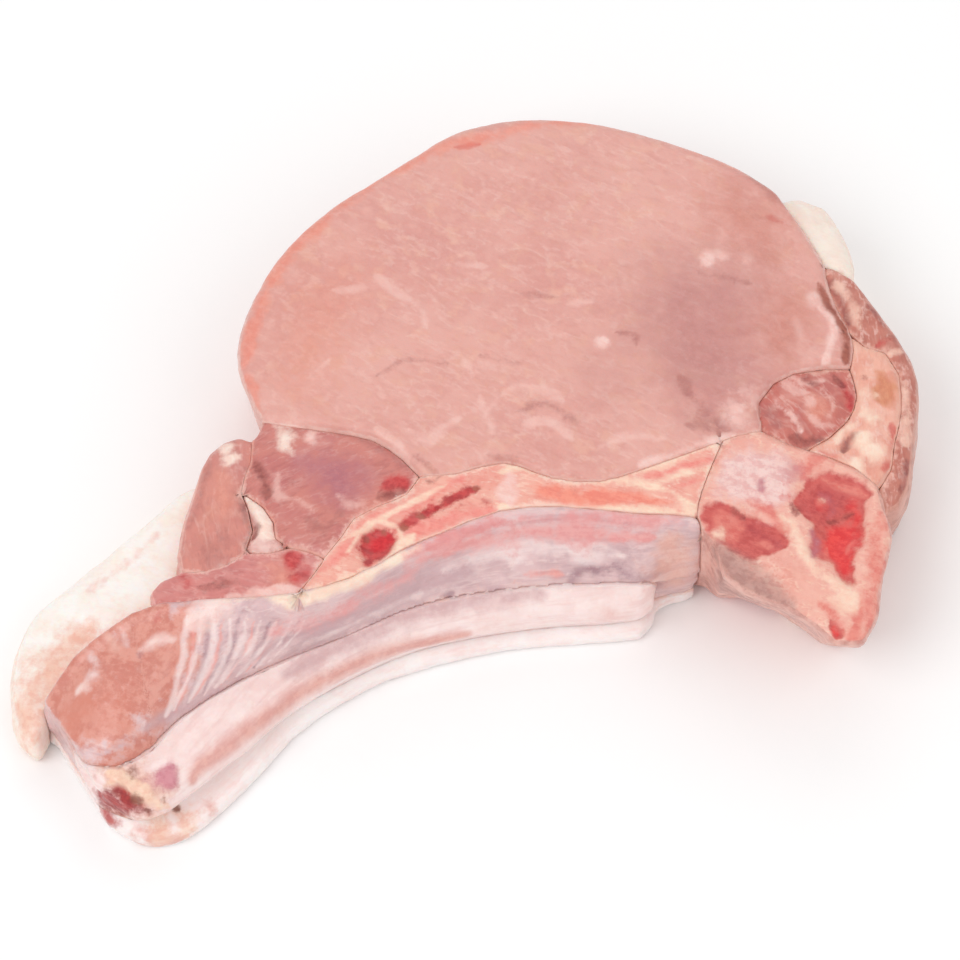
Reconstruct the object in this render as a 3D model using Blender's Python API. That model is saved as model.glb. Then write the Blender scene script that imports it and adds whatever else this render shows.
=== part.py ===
"""A raw pork rib chop with its bone in, lying flat on one of its two cut faces.

Plan sizes are in millimetres on the upper cut face: x runs along the rib, and y runs
from the rib's inner wall towards the back of the animal. Every muscle, bone and fat
layer is a slab that runs right through the chop. Neighbours share a named seam line,
so they fit each other with a hair of clearance.
"""

import math

import bmesh
import bpy
import numpy as np
from mathutils import Vector
from mathutils.geometry import delaunay_2d_cdt

MM = 0.001

# Driving sizes, in millimetres.
THICKNESS = 24.0  # between the two cut faces
SEAM_GAP = 0.3  # clearance between neighbouring tissues
SOCKET_GAP = 0.55  # clearance round the rib, whose facets differ from its socket's
POINT_STEP = 3.4  # spacing of outline points
GRID_STEP = 5.5  # spacing of points inside a cut face
FINE_GRID_STEP = 3.2  # the same where a bone's pockets need it
FRINGE_HEIGHT = 3.3  # thin meat under the rib
BONE_HEIGHT = 8.4  # middle of the rib above the table
BONE_HALF_HEIGHT = 4.5  # the rib is no taller than this, however wide
MARROW_RIM = 1.4  # width of hard bone round the marrow at the rib's sawn end
MARROW_DEPTH = 0.9
SOCKET_START = 90.0  # angle where the meat leaves a narrow rib, in degrees
SOCKET_OPENING = 9.0  # degrees more of the rib bared for each millimetre of width
WALL_LIP = 2.0  # width of the rib meat's top edge
WALL_STEPS = 2  # sections made for each wall station
BONE_SIDES = 12
TIP_LEAN = 13.0  # how far the backbone's tip overhangs its foot
END_LEAN = 7.0  # how far the eye's thin end overhangs its foot

# Slab profiles: height as a share of the thickness, or a drop below the top when
# negative, then the inset at a free edge and at a seam.
SLAB_PROFILE = (
    (0.0, 2.2, 0.7),
    (0.05, 0.7, 0.15),
    (0.5, -0.5, 0.15),
    (-2.0, 0.3, 0.15),
    (-0.7, 0.9, 0.2),
    (-0.001, 2.2, 0.75),
)

# Where three tissues meet, on the upper cut face.
NOTCH = (-36.8, 12.0)
SHOULDER = (51.5, 57.5)
CREST = (59.0, 43.5)
CREST_OUTER = (64.5, 40.5)
CREASE = (62.8, 29.5)
HOLLOW = (62.8, 22.5)
NECK = (47.3, 9.6)
RIB_HEAD = (40.8, 7.8)
SPLIT = (-10.0, 1.0)
SIDE_HEEL = (-25.6, -14.2)
FAT_RIGHT = (-31.4, -12.0)
FAT_TOP = (-39.8, -1.2)
FAT_FOOT = (-38.8, -12.6)
OUTER_TOP = (-38.3, 8.8)
OUTER_WAIST = (-46.8, 4.0)
OUTER_HEEL = (-49.3, -15.6)
SADDLE = (54.6, 6.0)
RIM_HEEL = (66.4, -1.2)
RIM_TOE = (67.4, -5.6)
FLANK_TIP = (-72.4, -38.2)

# The wall along the rib, one row for each station from the backbone to the flank end:
# inner seam, foot on the table, top height, rib half width, the rib's distance in from
# the foot, and how far the meat bulges between its lip and the rib.
WALL_STATIONS = (
    ((35.7, -7.0), (36.8, -13.2), 24.0, 0.5, 2.4, 0.0),
    ((33.0, -6.6), (33.5, -13.4), 24.0, 0.6, 2.5, 0.0),
    ((29.6, -6.4), (30.0, -15.2), 24.0, 1.6, 3.0, 0.0),
    ((26.5, -6.3), (27.0, -18.0), 24.0, 4.2, 4.8, 0.0),
    ((13.3, -4.9), (13.5, -19.0), 24.0, 4.6, 5.0, -0.3),
    ((3.3, -5.8), (3.4, -20.4), 24.0, 4.8, 5.2, -0.4),
    ((-6.0, -9.8), (-6.5, -22.6), 24.0, 5.0, 5.5, -0.3),
    ((-13.0, -13.2), (-15.0, -25.6), 24.0, 5.2, 5.8, 0.0),
    ((-21.0, -18.2), (-23.5, -30.4), 24.0, 5.5, 6.3, 0.2),
    ((-30.0, -21.2), (-31.5, -36.8), 24.0, 6.3, 8.0, 0.5),
    ((-40.0, -21.9), (-38.5, -45.5), 23.6, 7.4, 10.6, 1.0),
    ((-53.5, -22.3), (-46.0, -53.5), 22.4, 7.6, 11.4, 2.2),
    ((-60.0, -24.8), (-50.5, -56.2), 20.6, 7.0, 9.6, 3.0),
    ((-67.0, -29.2), (-55.5, -56.2), 17.2, 6.2, 7.6, 3.0),
    ((-72.0, -35.0), (-60.5, -53.0), 12.0, 5.2, 6.2, 1.4),
)
STATION_HEEL = 9  # station where the lower muscle meets the sawn rib
STATION_FLANK = 11  # station where the lower muscle ends


def smoothLine(points, steps=None):
    """A smooth line through the points, with a point about every POINT_STEP."""
    points = np.array(points, float)
    padded = np.vstack([2 * points[0] - points[1], points, 2 * points[-1] - points[-2]])
    line = []
    for before, start, end, after in zip(padded, padded[1:], padded[2:], padded[3:]):
        count = steps or max(1, round(np.linalg.norm((end - start)[:2]) / POINT_STEP))
        for share in np.arange(count) / count:
            line.append(
                0.5
                * (
                    2 * start
                    + (end - before) * share
                    + (2 * before - 5 * start + 4 * end - after) * share**2
                    + (3 * start - before - 3 * end + after) * share**3
                )
            )
    return np.vstack([line, points[-1]])


def wallTable():
    """The stations' numbers in columns, smoothed between stations."""
    rows = [(*seam, *foot, *rest) for seam, foot, *rest in WALL_STATIONS]
    return smoothLine(rows, WALL_STEPS)


WALL = wallTable()
WALL_SEAM = WALL[:, 0:2]

# Seam lines: the points from one meeting place to the next, then how far the top edge
# and the foot round over, from 0 at a tight seam to 1 at a free edge.
SEAMS = {
    "eye_back": (
        (
            NOTCH,
            *((-40.0, 17.0), (-42.0, 23.0), (-41.0, 31.0), (-37.5, 41.0), (-31.0, 50.0)),
            *((-23.5, 57.0), (-9.0, 68.0), (0.0, 72.3), (10.5, 74.0), (21.0, 73.0)),
            *((30.0, 70.5), (38.5, 67.0), (45.5, 63.3)),
            SHOULDER,
        ),
        1.0,
        1.0,
    ),
    "eye_backfat": ((SHOULDER, (55.6, 51.0), CREST), 0.3, 0.0),
    "eye_rim": ((CREST, (59.8, 38.0), (61.4, 33.0), CREASE), 0.3, 0.0),
    "eye_spine": ((CREASE, (63.4, 26.0), HOLLOW), 0.2, 0.0),
    "eye_backmuscle": (
        (HOLLOW, (58.0, 22.4), (53.0, 21.5), (49.5, 19.5), (46.7, 15.5), NECK),
        0.0,
        0.0,
    ),
    "eye_vertebra": ((NECK, (43.5, 8.8), RIB_HEAD), 0.0, 0.0),
    "eye_cutrib": (
        (RIB_HEAD, (30.0, 3.4), (20.0, -0.1), (12.0, 0.6), (4.0, 3.5), (-4.0, 1.4), SPLIT),
        0.0,
        0.0,
    ),
    "eye_side": (
        (SPLIT, (-13.0, 4.5), (-18.0, 8.2), (-25.0, 9.8), (-31.5, 10.8), NOTCH),
        0.2,
        0.0,
    ),
    "side_free": ((NOTCH, (-37.4, 10.4), OUTER_TOP), 0.4, 0.4),
    "side_cutrib": (
        (SPLIT, (-12.2, -2.3), (-17.0, -4.6), (-21.0, -7.0), (-23.0, -10.5), SIDE_HEEL),
        0.0,
        0.0,
    ),
    "side_lower": ((SIDE_HEEL, (-28.5, -12.8), FAT_RIGHT), 0.1, 0.0),
    "side_seamfat": (
        (FAT_RIGHT, (-33.8, -10.3), (-34.2, -7.3), (-36.0, -4.4), FAT_TOP),
        0.0,
        0.0,
    ),
    "side_outer": ((FAT_TOP, (-39.4, 1.2), (-38.3, 4.6), OUTER_TOP), 0.4, 0.0),
    "outer_free": (
        (OUTER_TOP, (-40.6, 10.2), (-43.6, 9.6), (-46.0, 7.0), OUTER_WAIST),
        1.0,
        0.7,
    ),
    "outer_flank": (
        (OUTER_WAIST, (-48.2, -1.0), (-49.9, -7.0), (-50.4, -12.0), OUTER_HEEL),
        0.9,
        0.0,
    ),
    "outer_seamfat": ((FAT_TOP, (-38.6, -4.5), (-37.7, -8.5), FAT_FOOT), 0.1, 0.0),
    "outer_lower": ((FAT_FOOT, (-42.0, -15.0), (-45.5, -16.0), OUTER_HEEL), 0.4, 0.0),
    "lower_seamfat": ((FAT_FOOT, (-35.0, -13.0), FAT_RIGHT), 0.0, 0.0),
    "lower_flank": (
        (OUTER_HEEL, (-53.0, -16.8), (-54.8, -19.2), WALL_STATIONS[STATION_FLANK][0]),
        0.8,
        0.0,
    ),
    "lower_cutrib": ((SIDE_HEEL, (-27.4, -17.4), WALL_STATIONS[STATION_HEEL][0]), 0.0, 0.0),
    "flank_end": ((WALL_STATIONS[-1][0], FLANK_TIP), 0.0, 0.0),
    "flank_free": (
        (
            FLANK_TIP,
            *((-73.4, -41.2), (-76.3, -38.4), (-77.9, -32.0), (-78.0, -24.0)),
            *((-75.0, -15.5), (-67.0, -9.5), (-58.5, -2.8), (-51.0, 4.2), (-48.3, 5.6)),
            OUTER_WAIST,
        ),
        1.0,
        0.6,
    ),
    "cutrib_vertebra": ((WALL_STATIONS[0][0], (37.0, -2.0), (38.8, 3.0), RIB_HEAD), 0.0, 0.0),
    "backfat_free": (
        (SHOULDER, (56.0, 60.4), (60.6, 58.6), (63.4, 53.0), (65.0, 46.0), CREST_OUTER),
        1.0,
        1.0,
    ),
    "backfat_rim": ((CREST, (61.6, 42.6), CREST_OUTER), 0.3, 0.0),
    "rim_free": (
        (
            CREST_OUTER,
            *((70.0, 32.4), (73.8, 25.4), (74.6, 18.0), (73.2, 8.0), (72.2, 0.5)),
            (70.2, -4.0),
            RIM_TOE,
        ),
        0.8,
        0.8,
    ),
    "rim_vertebra": ((RIM_TOE, RIM_HEEL), 0.3, 0.0),
    "rim_spine": (
        (
            CREASE,
            *((65.4, 26.8), (69.0, 25.8), (71.0, 21.8), (71.0, 14.0), (69.6, 8.0)),
            (68.8, 3.0),
            RIM_HEEL,
        ),
        0.1,
        0.0,
    ),
    "spine_vertebra": ((RIM_HEEL, (62.4, 2.6), (58.4, 4.6), SADDLE), 0.0, 0.0),
    "spine_backmuscle": ((SADDLE, (58.7, 8.6), (62.0, 12.0), (63.8, 17.0), HOLLOW), 0.1, 0.0),
    "backmuscle_vertebra": ((SADDLE, (51.0, 7.3), NECK), 0.0, 0.0),
    "vertebra_free": (
        (
            RIM_TOE,
            *((68.4, -11.0), (66.6, -18.5), (65.2, -27.0), (62.8, -31.2), (57.8, -31.2)),
            *((54.6, -28.2), (50.0, -24.6), (43.6, -21.6), (40.2, -18.0), (38.7, -13.4)),
            *((37.5, -10.2), (36.3, -7.2)),
        ),
        0.5,
        0.3,
    ),
}


def seam(name, backwards=False):
    """A seam's smooth line with its rounding weights, without the last point."""
    points, topRound, footRound = SEAMS[name]
    line = smoothLine(points[::-1] if backwards else points)
    return withRounding(line, topRound, footRound)


def wallSeam(first, last, rounding):
    """The part of the wall's inner seam between two stations, without the last point."""
    step = 1 if last > first else -1
    rows = list(range(first * WALL_STEPS, last * WALL_STEPS + step, step))
    return withRounding(WALL_SEAM[rows], rounding, 0.0)


def withRounding(line, topRound, footRound):
    """Rows of x, y, top rounding and foot rounding, tapered to a seam at both ends."""
    ends = np.minimum(np.arange(len(line)), np.arange(len(line))[::-1])
    taper = np.clip((ends + 0.4) / 2.0, 0.0, 1.0)
    return np.column_stack([line, topRound * taper, footRound * taper])[:-1]


def outline(*runs):
    """A closed outline from its seams, turned anticlockwise."""
    loop = np.vstack(runs)
    ahead = np.roll(loop, -1, axis=0)
    area = np.sum(loop[:, 0] * ahead[:, 1] - ahead[:, 0] * loop[:, 1])
    return loop if area > 0 else loop[::-1]


def inset(loop, distances):
    """The outline's points moved inwards along their own normals."""
    points = loop[:, :2]
    before = points - np.roll(points, 1, axis=0)
    after = np.roll(points, -1, axis=0) - points
    before /= np.linalg.norm(before, axis=1)[:, None]
    after /= np.linalg.norm(after, axis=1)[:, None]
    normal = np.column_stack([-(before + after)[:, 1], (before + after)[:, 0]])
    normal /= np.linalg.norm(normal, axis=1)[:, None]
    lean = np.sum(normal * np.column_stack([-after[:, 1], after[:, 0]]), axis=1)
    return points + normal * (distances / np.clip(lean, 0.6, 1.0))[:, None]


def smoothStep(value, low, high):
    share = np.clip((value - low) / (high - low), 0.0, 1.0)
    return share * share * (3.0 - 2.0 * share)


def leaning(point):
    """Where a point goes once the slab's free ends overhang their feet."""
    x, y, z = point
    depth = 1.0 - z / THICKNESS
    tip = TIP_LEAN * smoothStep(x, 34.0, 44.0) * smoothStep(-y, -15.0, 28.0)
    away = math.hypot((x + 43.0) / 15.0, (y - 19.0) / 14.0)
    end = END_LEAN * (1.0 - smoothStep(away, 0.0, 1.0))
    return x + 0.8 * end * depth, y + (tip + 0.8 * end) * depth, z


def bump(x, y, centre, radii, height):
    """A round-shouldered bump, or a dip where the height is negative."""
    away = math.hypot((x - centre[0]) / radii[0], (y - centre[1]) / radii[1])
    return height * (1.0 - smoothStep(away, 0.0, 1.0))


def gridInside(loop, step):
    """Points on a staggered grid that lie well inside an outline."""
    low = loop.min(axis=0)
    high = loop.max(axis=0)
    ahead = np.roll(loop, -1, axis=0)
    found = []
    for row, y in enumerate(np.arange(low[1] + 0.5 * step, high[1], 0.87 * step)):
        for x in np.arange(low[0] + 0.5 * step * (row % 2), high[0], step):
            span = ahead - loop
            along = np.sum((np.array([x, y]) - loop) * span, axis=1)
            along = np.clip(along / np.sum(span * span, axis=1), 0.0, 1.0)
            nearest = loop + span * along[:, None]
            clear = np.hypot(nearest[:, 0] - x, nearest[:, 1] - y).min()
            above = (loop[:, 1] > y) != (ahead[:, 1] > y)
            level = np.where(span[:, 1] == 0, 1.0, span[:, 1])
            crossing = loop[:, 0] + (y - loop[:, 1]) / level * span[:, 0]
            if clear > 0.45 * step and np.sum(above & (x < crossing)) % 2:
                found.append((x, y))
    return found


def finish(name, bm, material):
    """Makes the object from its mesh, in metres, smooth but for its sharp edges."""
    for vert in bm.verts:
        vert.co = Vector(leaning(vert.co)) * MM
    bmesh.ops.recalc_face_normals(bm, faces=bm.faces)
    if bm.calc_volume(signed=True) < 0.0:
        bmesh.ops.reverse_faces(bm, faces=bm.faces)
    mesh = bpy.data.meshes.new(name)
    bm.to_mesh(mesh)
    bm.free()
    mesh.shade_smooth()
    mesh.set_sharp_from_angle(angle=math.radians(40))
    mesh.materials.append(material)
    node = bpy.data.objects.new(name, mesh)
    bpy.context.scene.collection.objects.link(node)
    return node


def slab(name, loop, height, material, step=GRID_STEP):
    """A tissue through the whole chop: rounded foot, side wall, rounded rim and face."""
    bm = bmesh.new()
    foot = bm.faces.new([bm.verts.new((x, y, 0.0)) for x, y in loop[:, :2]])
    top = foot
    for share, free, tight in SLAB_PROFILE:
        rounding = loop[:, 2] if share < 0 else loop[:, 3]
        ring = inset(loop, tight + (free - tight) * rounding)
        if share != 0.0:
            top = bmesh.ops.extrude_discrete_faces(bm, faces=[top])["faces"][0]
        for vert, (x, y) in zip(top.verts, ring):
            level = height(x, y) + share if share < 0 else share * height(x, y)
            vert.co = (x, y, level)
    rim = list(top.verts)
    inner = np.array([vert.co[:2] for vert in rim])
    points = [Vector(point) for point in inner] + [Vector(p) for p in gridInside(inner, step)]
    edges = [(i, (i + 1) % len(rim)) for i in range(len(rim))]
    _, _, faces, original, _, _ = delaunay_2d_cdt(points, edges, [], 1, 1e-6)
    verts = rim + [bm.verts.new((x, y, height(x, y))) for x, y in points[len(rim) :]]
    for face in faces:
        bm.faces.new([verts[original[corner][0]] for corner in face])
    bmesh.ops.delete(bm, geom=[top], context="FACES_ONLY")
    bmesh.ops.holes_fill(bm, edges=[edge for edge in bm.edges if edge.is_boundary])
    return finish(name, bm, material)


def along(name, sections, material, bevel=0.0, marrow=False):
    """A body lofted through sections of equal point count, closed at both ends."""
    bm = bmesh.new()
    rings = [[bm.verts.new(point) for point in section] for section in sections]
    for near, far in zip(rings, rings[1:]):
        for i in range(len(near)):
            j = (i + 1) % len(near)
            bm.faces.new((near[i], near[j], far[j], far[i]))
    bm.faces.new(rings[0][::-1])
    end = bm.faces.new(rings[-1])
    bmesh.ops.recalc_face_normals(bm, faces=bm.faces)
    if bevel:
        bmesh.ops.inset_region(bm, faces=[end], thickness=bevel, depth=0.6 * bevel)
    if marrow:
        bmesh.ops.inset_region(bm, faces=[end], thickness=MARROW_RIM)
        bmesh.ops.inset_region(bm, faces=[end], thickness=0.5 * MARROW_RIM, depth=-MARROW_DEPTH)
    return finish(name, bm, material)


def place(station, inwards, level):
    """A point of a wall section, from its distance in from the foot and its height."""
    seam = station[0:2]
    foot = station[2:4]
    width = np.linalg.norm(seam - foot)
    x, y = foot + (seam - foot) * inwards / width
    return x, y, level


def ribRound(station, start, end, count, clearance):
    """Points round the rib from one angle to another; 180 degrees faces outwards."""
    halfWidth, inwards = station[5], station[6]
    halfHeight = min(halfWidth, BONE_HALF_HEIGHT)
    return [
        (
            inwards + (halfWidth + clearance) * math.cos(angle),
            BONE_HEIGHT + (halfHeight + clearance) * math.sin(angle),
        )
        for angle in np.radians(np.linspace(start, end, count))
    ]


def meatSection(station):
    """The meat between the ribs: an inner face, a lip, a slope, and the rib's socket."""
    back = np.linalg.norm(station[0:2] - station[2:4]) - SEAM_GAP / 2
    top, bulge = station[4], station[7]
    floor = FRINGE_HEIGHT + SEAM_GAP
    bared = SOCKET_START - SOCKET_OPENING * max(0.0, station[5] - BONE_HALF_HEIGHT)
    socket = ribRound(station, bared, -62.0, 7, SOCKET_GAP)
    lip = (back - WALL_LIP, top - 0.6)
    profile = [
        (back, floor),
        (back, 0.5 * (floor + top)),
        (back, top - 0.6),
        (back - 0.5, top),
        (back - 0.7 * WALL_LIP, top),
        lip,
    ]
    for share in (0.2, 0.4, 0.6, 0.8):
        swell = bulge * math.sin(math.pi * share) ** 0.8
        profile.append(
            (
                lip[0] + (socket[0][0] - lip[0]) * share - 0.5 * swell,
                lip[1] + (socket[0][1] - lip[1]) * share + 0.8 * swell,
            )
        )
    profile += socket
    profile.append((socket[-1][0], floor))
    return [place(station, inwards, level) for inwards, level in profile]


def fringeSection(station):
    """The thin meat under the rib, flush with the wall where the rib hasn't begun."""
    back = np.linalg.norm(station[0:2] - station[2:4]) - SEAM_GAP / 2
    edge = station[6] * (1.0 - smoothStep(station[5], 1.0, 4.0))
    profile = [
        (back, 0.0),
        (back, FRINGE_HEIGHT),
        (0.5 * (back + edge), FRINGE_HEIGHT),
        (edge + 1.0, FRINGE_HEIGHT),
        (edge + 0.2, FRINGE_HEIGHT - 0.7),
        (edge, 0.5 * FRINGE_HEIGHT),
        (edge + 0.3, 0.5),
        (edge + 1.2, 0.0),
    ]
    return [place(station, inwards, level) for inwards, level in profile]


def boneSection(station):
    """The rib's own round section."""
    ring = ribRound(station, 0.0, 360.0, BONE_SIDES + 1, 0.0)[:-1]
    return [place(station, inwards, level) for inwards, level in ring]


def eyeHeight(x, y):
    """The eye of the loin crowns a little and slopes off towards its thin end."""
    crown = 1.3 * max(0.0, 1.0 - ((x - 12.0) / 58.0) ** 2 - ((y - 36.0) / 42.0) ** 2)
    dips = bump(x, y, (40.0, 12.0), (9.0, 6.0), -1.0) + bump(x, y, (44.0, 24.0), (14.0, 9.0), -0.5)
    return THICKNESS + crown - 2.2 * smoothStep(-x, 26.0, 46.0) + dips


def sideHeight(x, y):
    return THICKNESS - 0.6 - 1.2 * smoothStep(-x, 30.0, 42.0) + bump(x, y, (-28.0, -1.0), (12.0, 9.0), 0.8)


def outerHeight(x, y):
    return THICKNESS - 1.9 - 0.10 * (-38.0 - x) + bump(x, y, (-44.0, -3.0), (7.0, 13.0), 1.3)


def lowerHeight(x, y):
    return THICKNESS - 1.2 - 0.09 * (-28.0 - x) + bump(x, y, (-40.0, -18.0), (13.0, 4.5), 0.9)


def seamFatHeight(x, y):
    return THICKNESS - 1.4


def ribFaceHeight(x, y):
    """The sawn rib face, sunk where its marrow is soft."""
    dips = bump(x, y, (-17.5, -12.0), (4.2, 5.6), -1.5) + bump(x, y, (-7.0, -5.0), (7.0, 2.8), -0.8)
    return THICKNESS - 0.1 + dips - 0.02 * max(0.0, -x)


def vertebraHeight(x, y):
    """The sawn backbone, sunk at its two marrow pockets and low at its tip."""
    dips = bump(x, y, (44.0, -9.0), (8.5, 4.8), -1.3)
    dips += bump(x, y, (60.0, -8.0), (6.5, 11.0), -1.5)
    return THICKNESS + 0.1 + dips - 2.6 * smoothStep(-y, 14.0, 32.0)


def backMuscleHeight(x, y):
    return THICKNESS - 1.1 + bump(x, y, (56.0, 14.5), (8.0, 7.5), 1.2)


def spineFatHeight(x, y):
    return THICKNESS - 0.5 - 0.09 * max(0.0, x - 62.0) + bump(x, y, (63.5, 7.5), (2.5, 4.0), -1.2)


def rimHeight(x, y):
    return THICKNESS - 0.9 - 0.16 * max(0.0, x - 66.0) - 1.4 * smoothStep(-y, -8.0, 6.0)


def backFatHeight(x, y):
    return THICKNESS - 2.0 - 0.45 * max(0.0, math.hypot(x - 45.0, y - 40.0) - 17.0)


def flankFatHeight(x, y):
    """A low layer of soft fat that thins out towards the flank end."""
    return 13.5 - 0.24 * max(0.0, -50.0 - x) + bump(x, y, (-64.0, -18.0), (12.0, 8.0), 1.2)


def finishOf(name, colour, roughness=0.4):
    """A plain finish: colour, roughness and no metal."""
    material = bpy.data.materials.new(name)
    material.use_nodes = True
    shader = material.node_tree.nodes["Principled BSDF"]
    shader.inputs["Base Color"].default_value = (*colour, 1.0)
    shader.inputs["Roughness"].default_value = roughness
    shader.inputs["Metallic"].default_value = 0.0
    material.diffuse_color = (*colour, 1.0)
    return material


def slabs():
    """The muscles, bones and fat that show on the upper cut face."""
    return [
        slab(
            "loin_eye",
            outline(
                seam("eye_back"),
                seam("eye_backfat"),
                seam("eye_rim"),
                seam("eye_spine"),
                seam("eye_backmuscle"),
                seam("eye_vertebra"),
                seam("eye_cutrib"),
                seam("eye_side"),
            ),
            eyeHeight,
            finishOf("loin_eye", (0.76, 0.40, 0.33)),
        ),
        slab(
            "side_muscle",
            outline(
                seam("eye_side"),
                seam("side_free"),
                seam("side_outer", True),
                seam("side_seamfat", True),
                seam("side_lower", True),
                seam("side_cutrib", True),
            ),
            sideHeight,
            finishOf("side_muscle", (0.56, 0.21, 0.18)),
            4.5,
        ),
        slab(
            "outer_muscle",
            outline(
                seam("side_outer"),
                seam("outer_free"),
                seam("outer_flank"),
                seam("outer_lower", True),
                seam("outer_seamfat", True),
            ),
            outerHeight,
            finishOf("outer_muscle", (0.61, 0.26, 0.21)),
            4.0,
        ),
        slab(
            "lower_muscle",
            outline(
                seam("outer_lower"),
                seam("lower_flank"),
                wallSeam(STATION_FLANK, STATION_HEEL, 0.5),
                seam("lower_cutrib", True),
                seam("side_lower"),
                seam("lower_seamfat", True),
            ),
            lowerHeight,
            finishOf("lower_muscle", (0.60, 0.22, 0.18)),
            3.6,
        ),
        slab(
            "seam_fat",
            outline(seam("side_seamfat"), seam("outer_seamfat"), seam("lower_seamfat")),
            seamFatHeight,
            finishOf("seam_fat", (0.88, 0.72, 0.66)),
            FINE_GRID_STEP,
        ),
        slab(
            "cut_rib",
            outline(
                seam("eye_cutrib"),
                seam("side_cutrib"),
                seam("lower_cutrib"),
                wallSeam(STATION_HEEL, 0, 0.0),
                seam("cutrib_vertebra"),
            ),
            ribFaceHeight,
            finishOf("cut_rib", (0.88, 0.48, 0.36)),
            FINE_GRID_STEP,
        ),
        slab(
            "vertebra",
            outline(
                seam("eye_vertebra"),
                seam("cutrib_vertebra", True),
                seam("vertebra_free", True),
                seam("rim_vertebra"),
                seam("spine_vertebra"),
                seam("backmuscle_vertebra"),
            ),
            vertebraHeight,
            finishOf("vertebra", (0.80, 0.42, 0.34)),
            FINE_GRID_STEP,
        ),
        slab(
            "back_muscle",
            outline(
                seam("eye_backmuscle"),
                seam("backmuscle_vertebra", True),
                seam("spine_backmuscle"),
            ),
            backMuscleHeight,
            finishOf("back_muscle", (0.55, 0.25, 0.21)),
            4.0,
        ),
        slab(
            "spine_fat",
            outline(
                seam("eye_spine"),
                seam("spine_backmuscle", True),
                seam("spine_vertebra", True),
                seam("rim_spine", True),
            ),
            spineFatHeight,
            finishOf("spine_fat", (0.86, 0.60, 0.47)),
            FINE_GRID_STEP,
        ),
        slab(
            "rim_muscle",
            outline(
                seam("eye_rim"),
                seam("rim_spine"),
                seam("rim_vertebra", True),
                seam("rim_free", True),
                seam("backfat_rim", True),
            ),
            rimHeight,
            finishOf("rim_muscle", (0.55, 0.27, 0.21)),
            4.0,
        ),
        slab(
            "back_fat",
            outline(seam("eye_backfat"), seam("backfat_rim"), seam("backfat_free", True)),
            backFatHeight,
            finishOf("back_fat", (0.90, 0.78, 0.68)),
            4.0,
        ),
        slab(
            "flank_fat",
            outline(
                seam("outer_flank"),
                seam("lower_flank"),
                wallSeam(STATION_FLANK, len(WALL_STATIONS) - 1, 0.0),
                seam("flank_end"),
                seam("flank_free"),
            ),
            flankFatHeight,
            finishOf("flank_fat", (0.92, 0.84, 0.74)),
            5.0,
        ),
    ]


def wall():
    """The chest wall along the rib: its meat, the rib itself and the fringe beneath."""
    boneStart = 1 + next(i for i, row in enumerate(WALL) if row[5] > 1.0)
    return [
        along(
            "rib_meat",
            [meatSection(row) for row in WALL],
            finishOf("rib_meat", (0.60, 0.36, 0.33)),
        ),
        along(
            "rib_bone",
            [boneSection(row) for row in WALL[boneStart:]],
            finishOf("rib_bone", (0.88, 0.72, 0.68)),
            0.6,
            True,
        ),
        along(
            "rib_fringe",
            [fringeSection(row) for row in WALL],
            finishOf("rib_fringe", (0.90, 0.66, 0.60)),
            0.5,
        ),
    ]


def centre(nodes):
    """Puts the middle of the chop's footprint at the origin, on the table."""
    corners = np.array([vert.co for node in nodes for vert in node.data.vertices])
    middle = (corners.min(axis=0) + corners.max(axis=0)) / 2.0
    shift = Vector((-middle[0], -middle[1], -corners[:, 2].min()))
    for node in nodes:
        for vert in node.data.vertices:
            vert.co += shift
    print("plan origin moved by", [round(part / MM, 3) for part in shift], "mm")


def main():
    for item in list(bpy.data.objects):
        bpy.data.objects.remove(item)
    centre(slabs() + wall())


main()
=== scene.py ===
import bpy
import math
import numpy as np
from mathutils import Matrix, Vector
from mathutils.bvhtree import BVHTree


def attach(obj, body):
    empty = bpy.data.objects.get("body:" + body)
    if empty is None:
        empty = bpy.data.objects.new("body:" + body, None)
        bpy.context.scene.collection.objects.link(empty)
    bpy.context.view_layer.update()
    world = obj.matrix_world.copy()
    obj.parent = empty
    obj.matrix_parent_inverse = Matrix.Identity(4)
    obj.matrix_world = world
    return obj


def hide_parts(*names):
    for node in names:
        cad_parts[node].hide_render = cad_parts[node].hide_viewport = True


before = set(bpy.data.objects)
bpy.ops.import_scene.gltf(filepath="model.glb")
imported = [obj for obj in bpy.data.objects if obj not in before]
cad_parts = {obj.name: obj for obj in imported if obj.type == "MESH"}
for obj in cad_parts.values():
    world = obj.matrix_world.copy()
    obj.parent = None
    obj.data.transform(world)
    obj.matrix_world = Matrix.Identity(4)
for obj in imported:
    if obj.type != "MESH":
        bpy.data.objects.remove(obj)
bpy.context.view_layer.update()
print("frame: loaded", len(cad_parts), "CAD nodes")

scene = bpy.context.scene
millimetre = 0.001
# The marks are drawn in millimetres from this place in the frame.
drawingZero = np.array((1.763, -8.966, 0.0))

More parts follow.
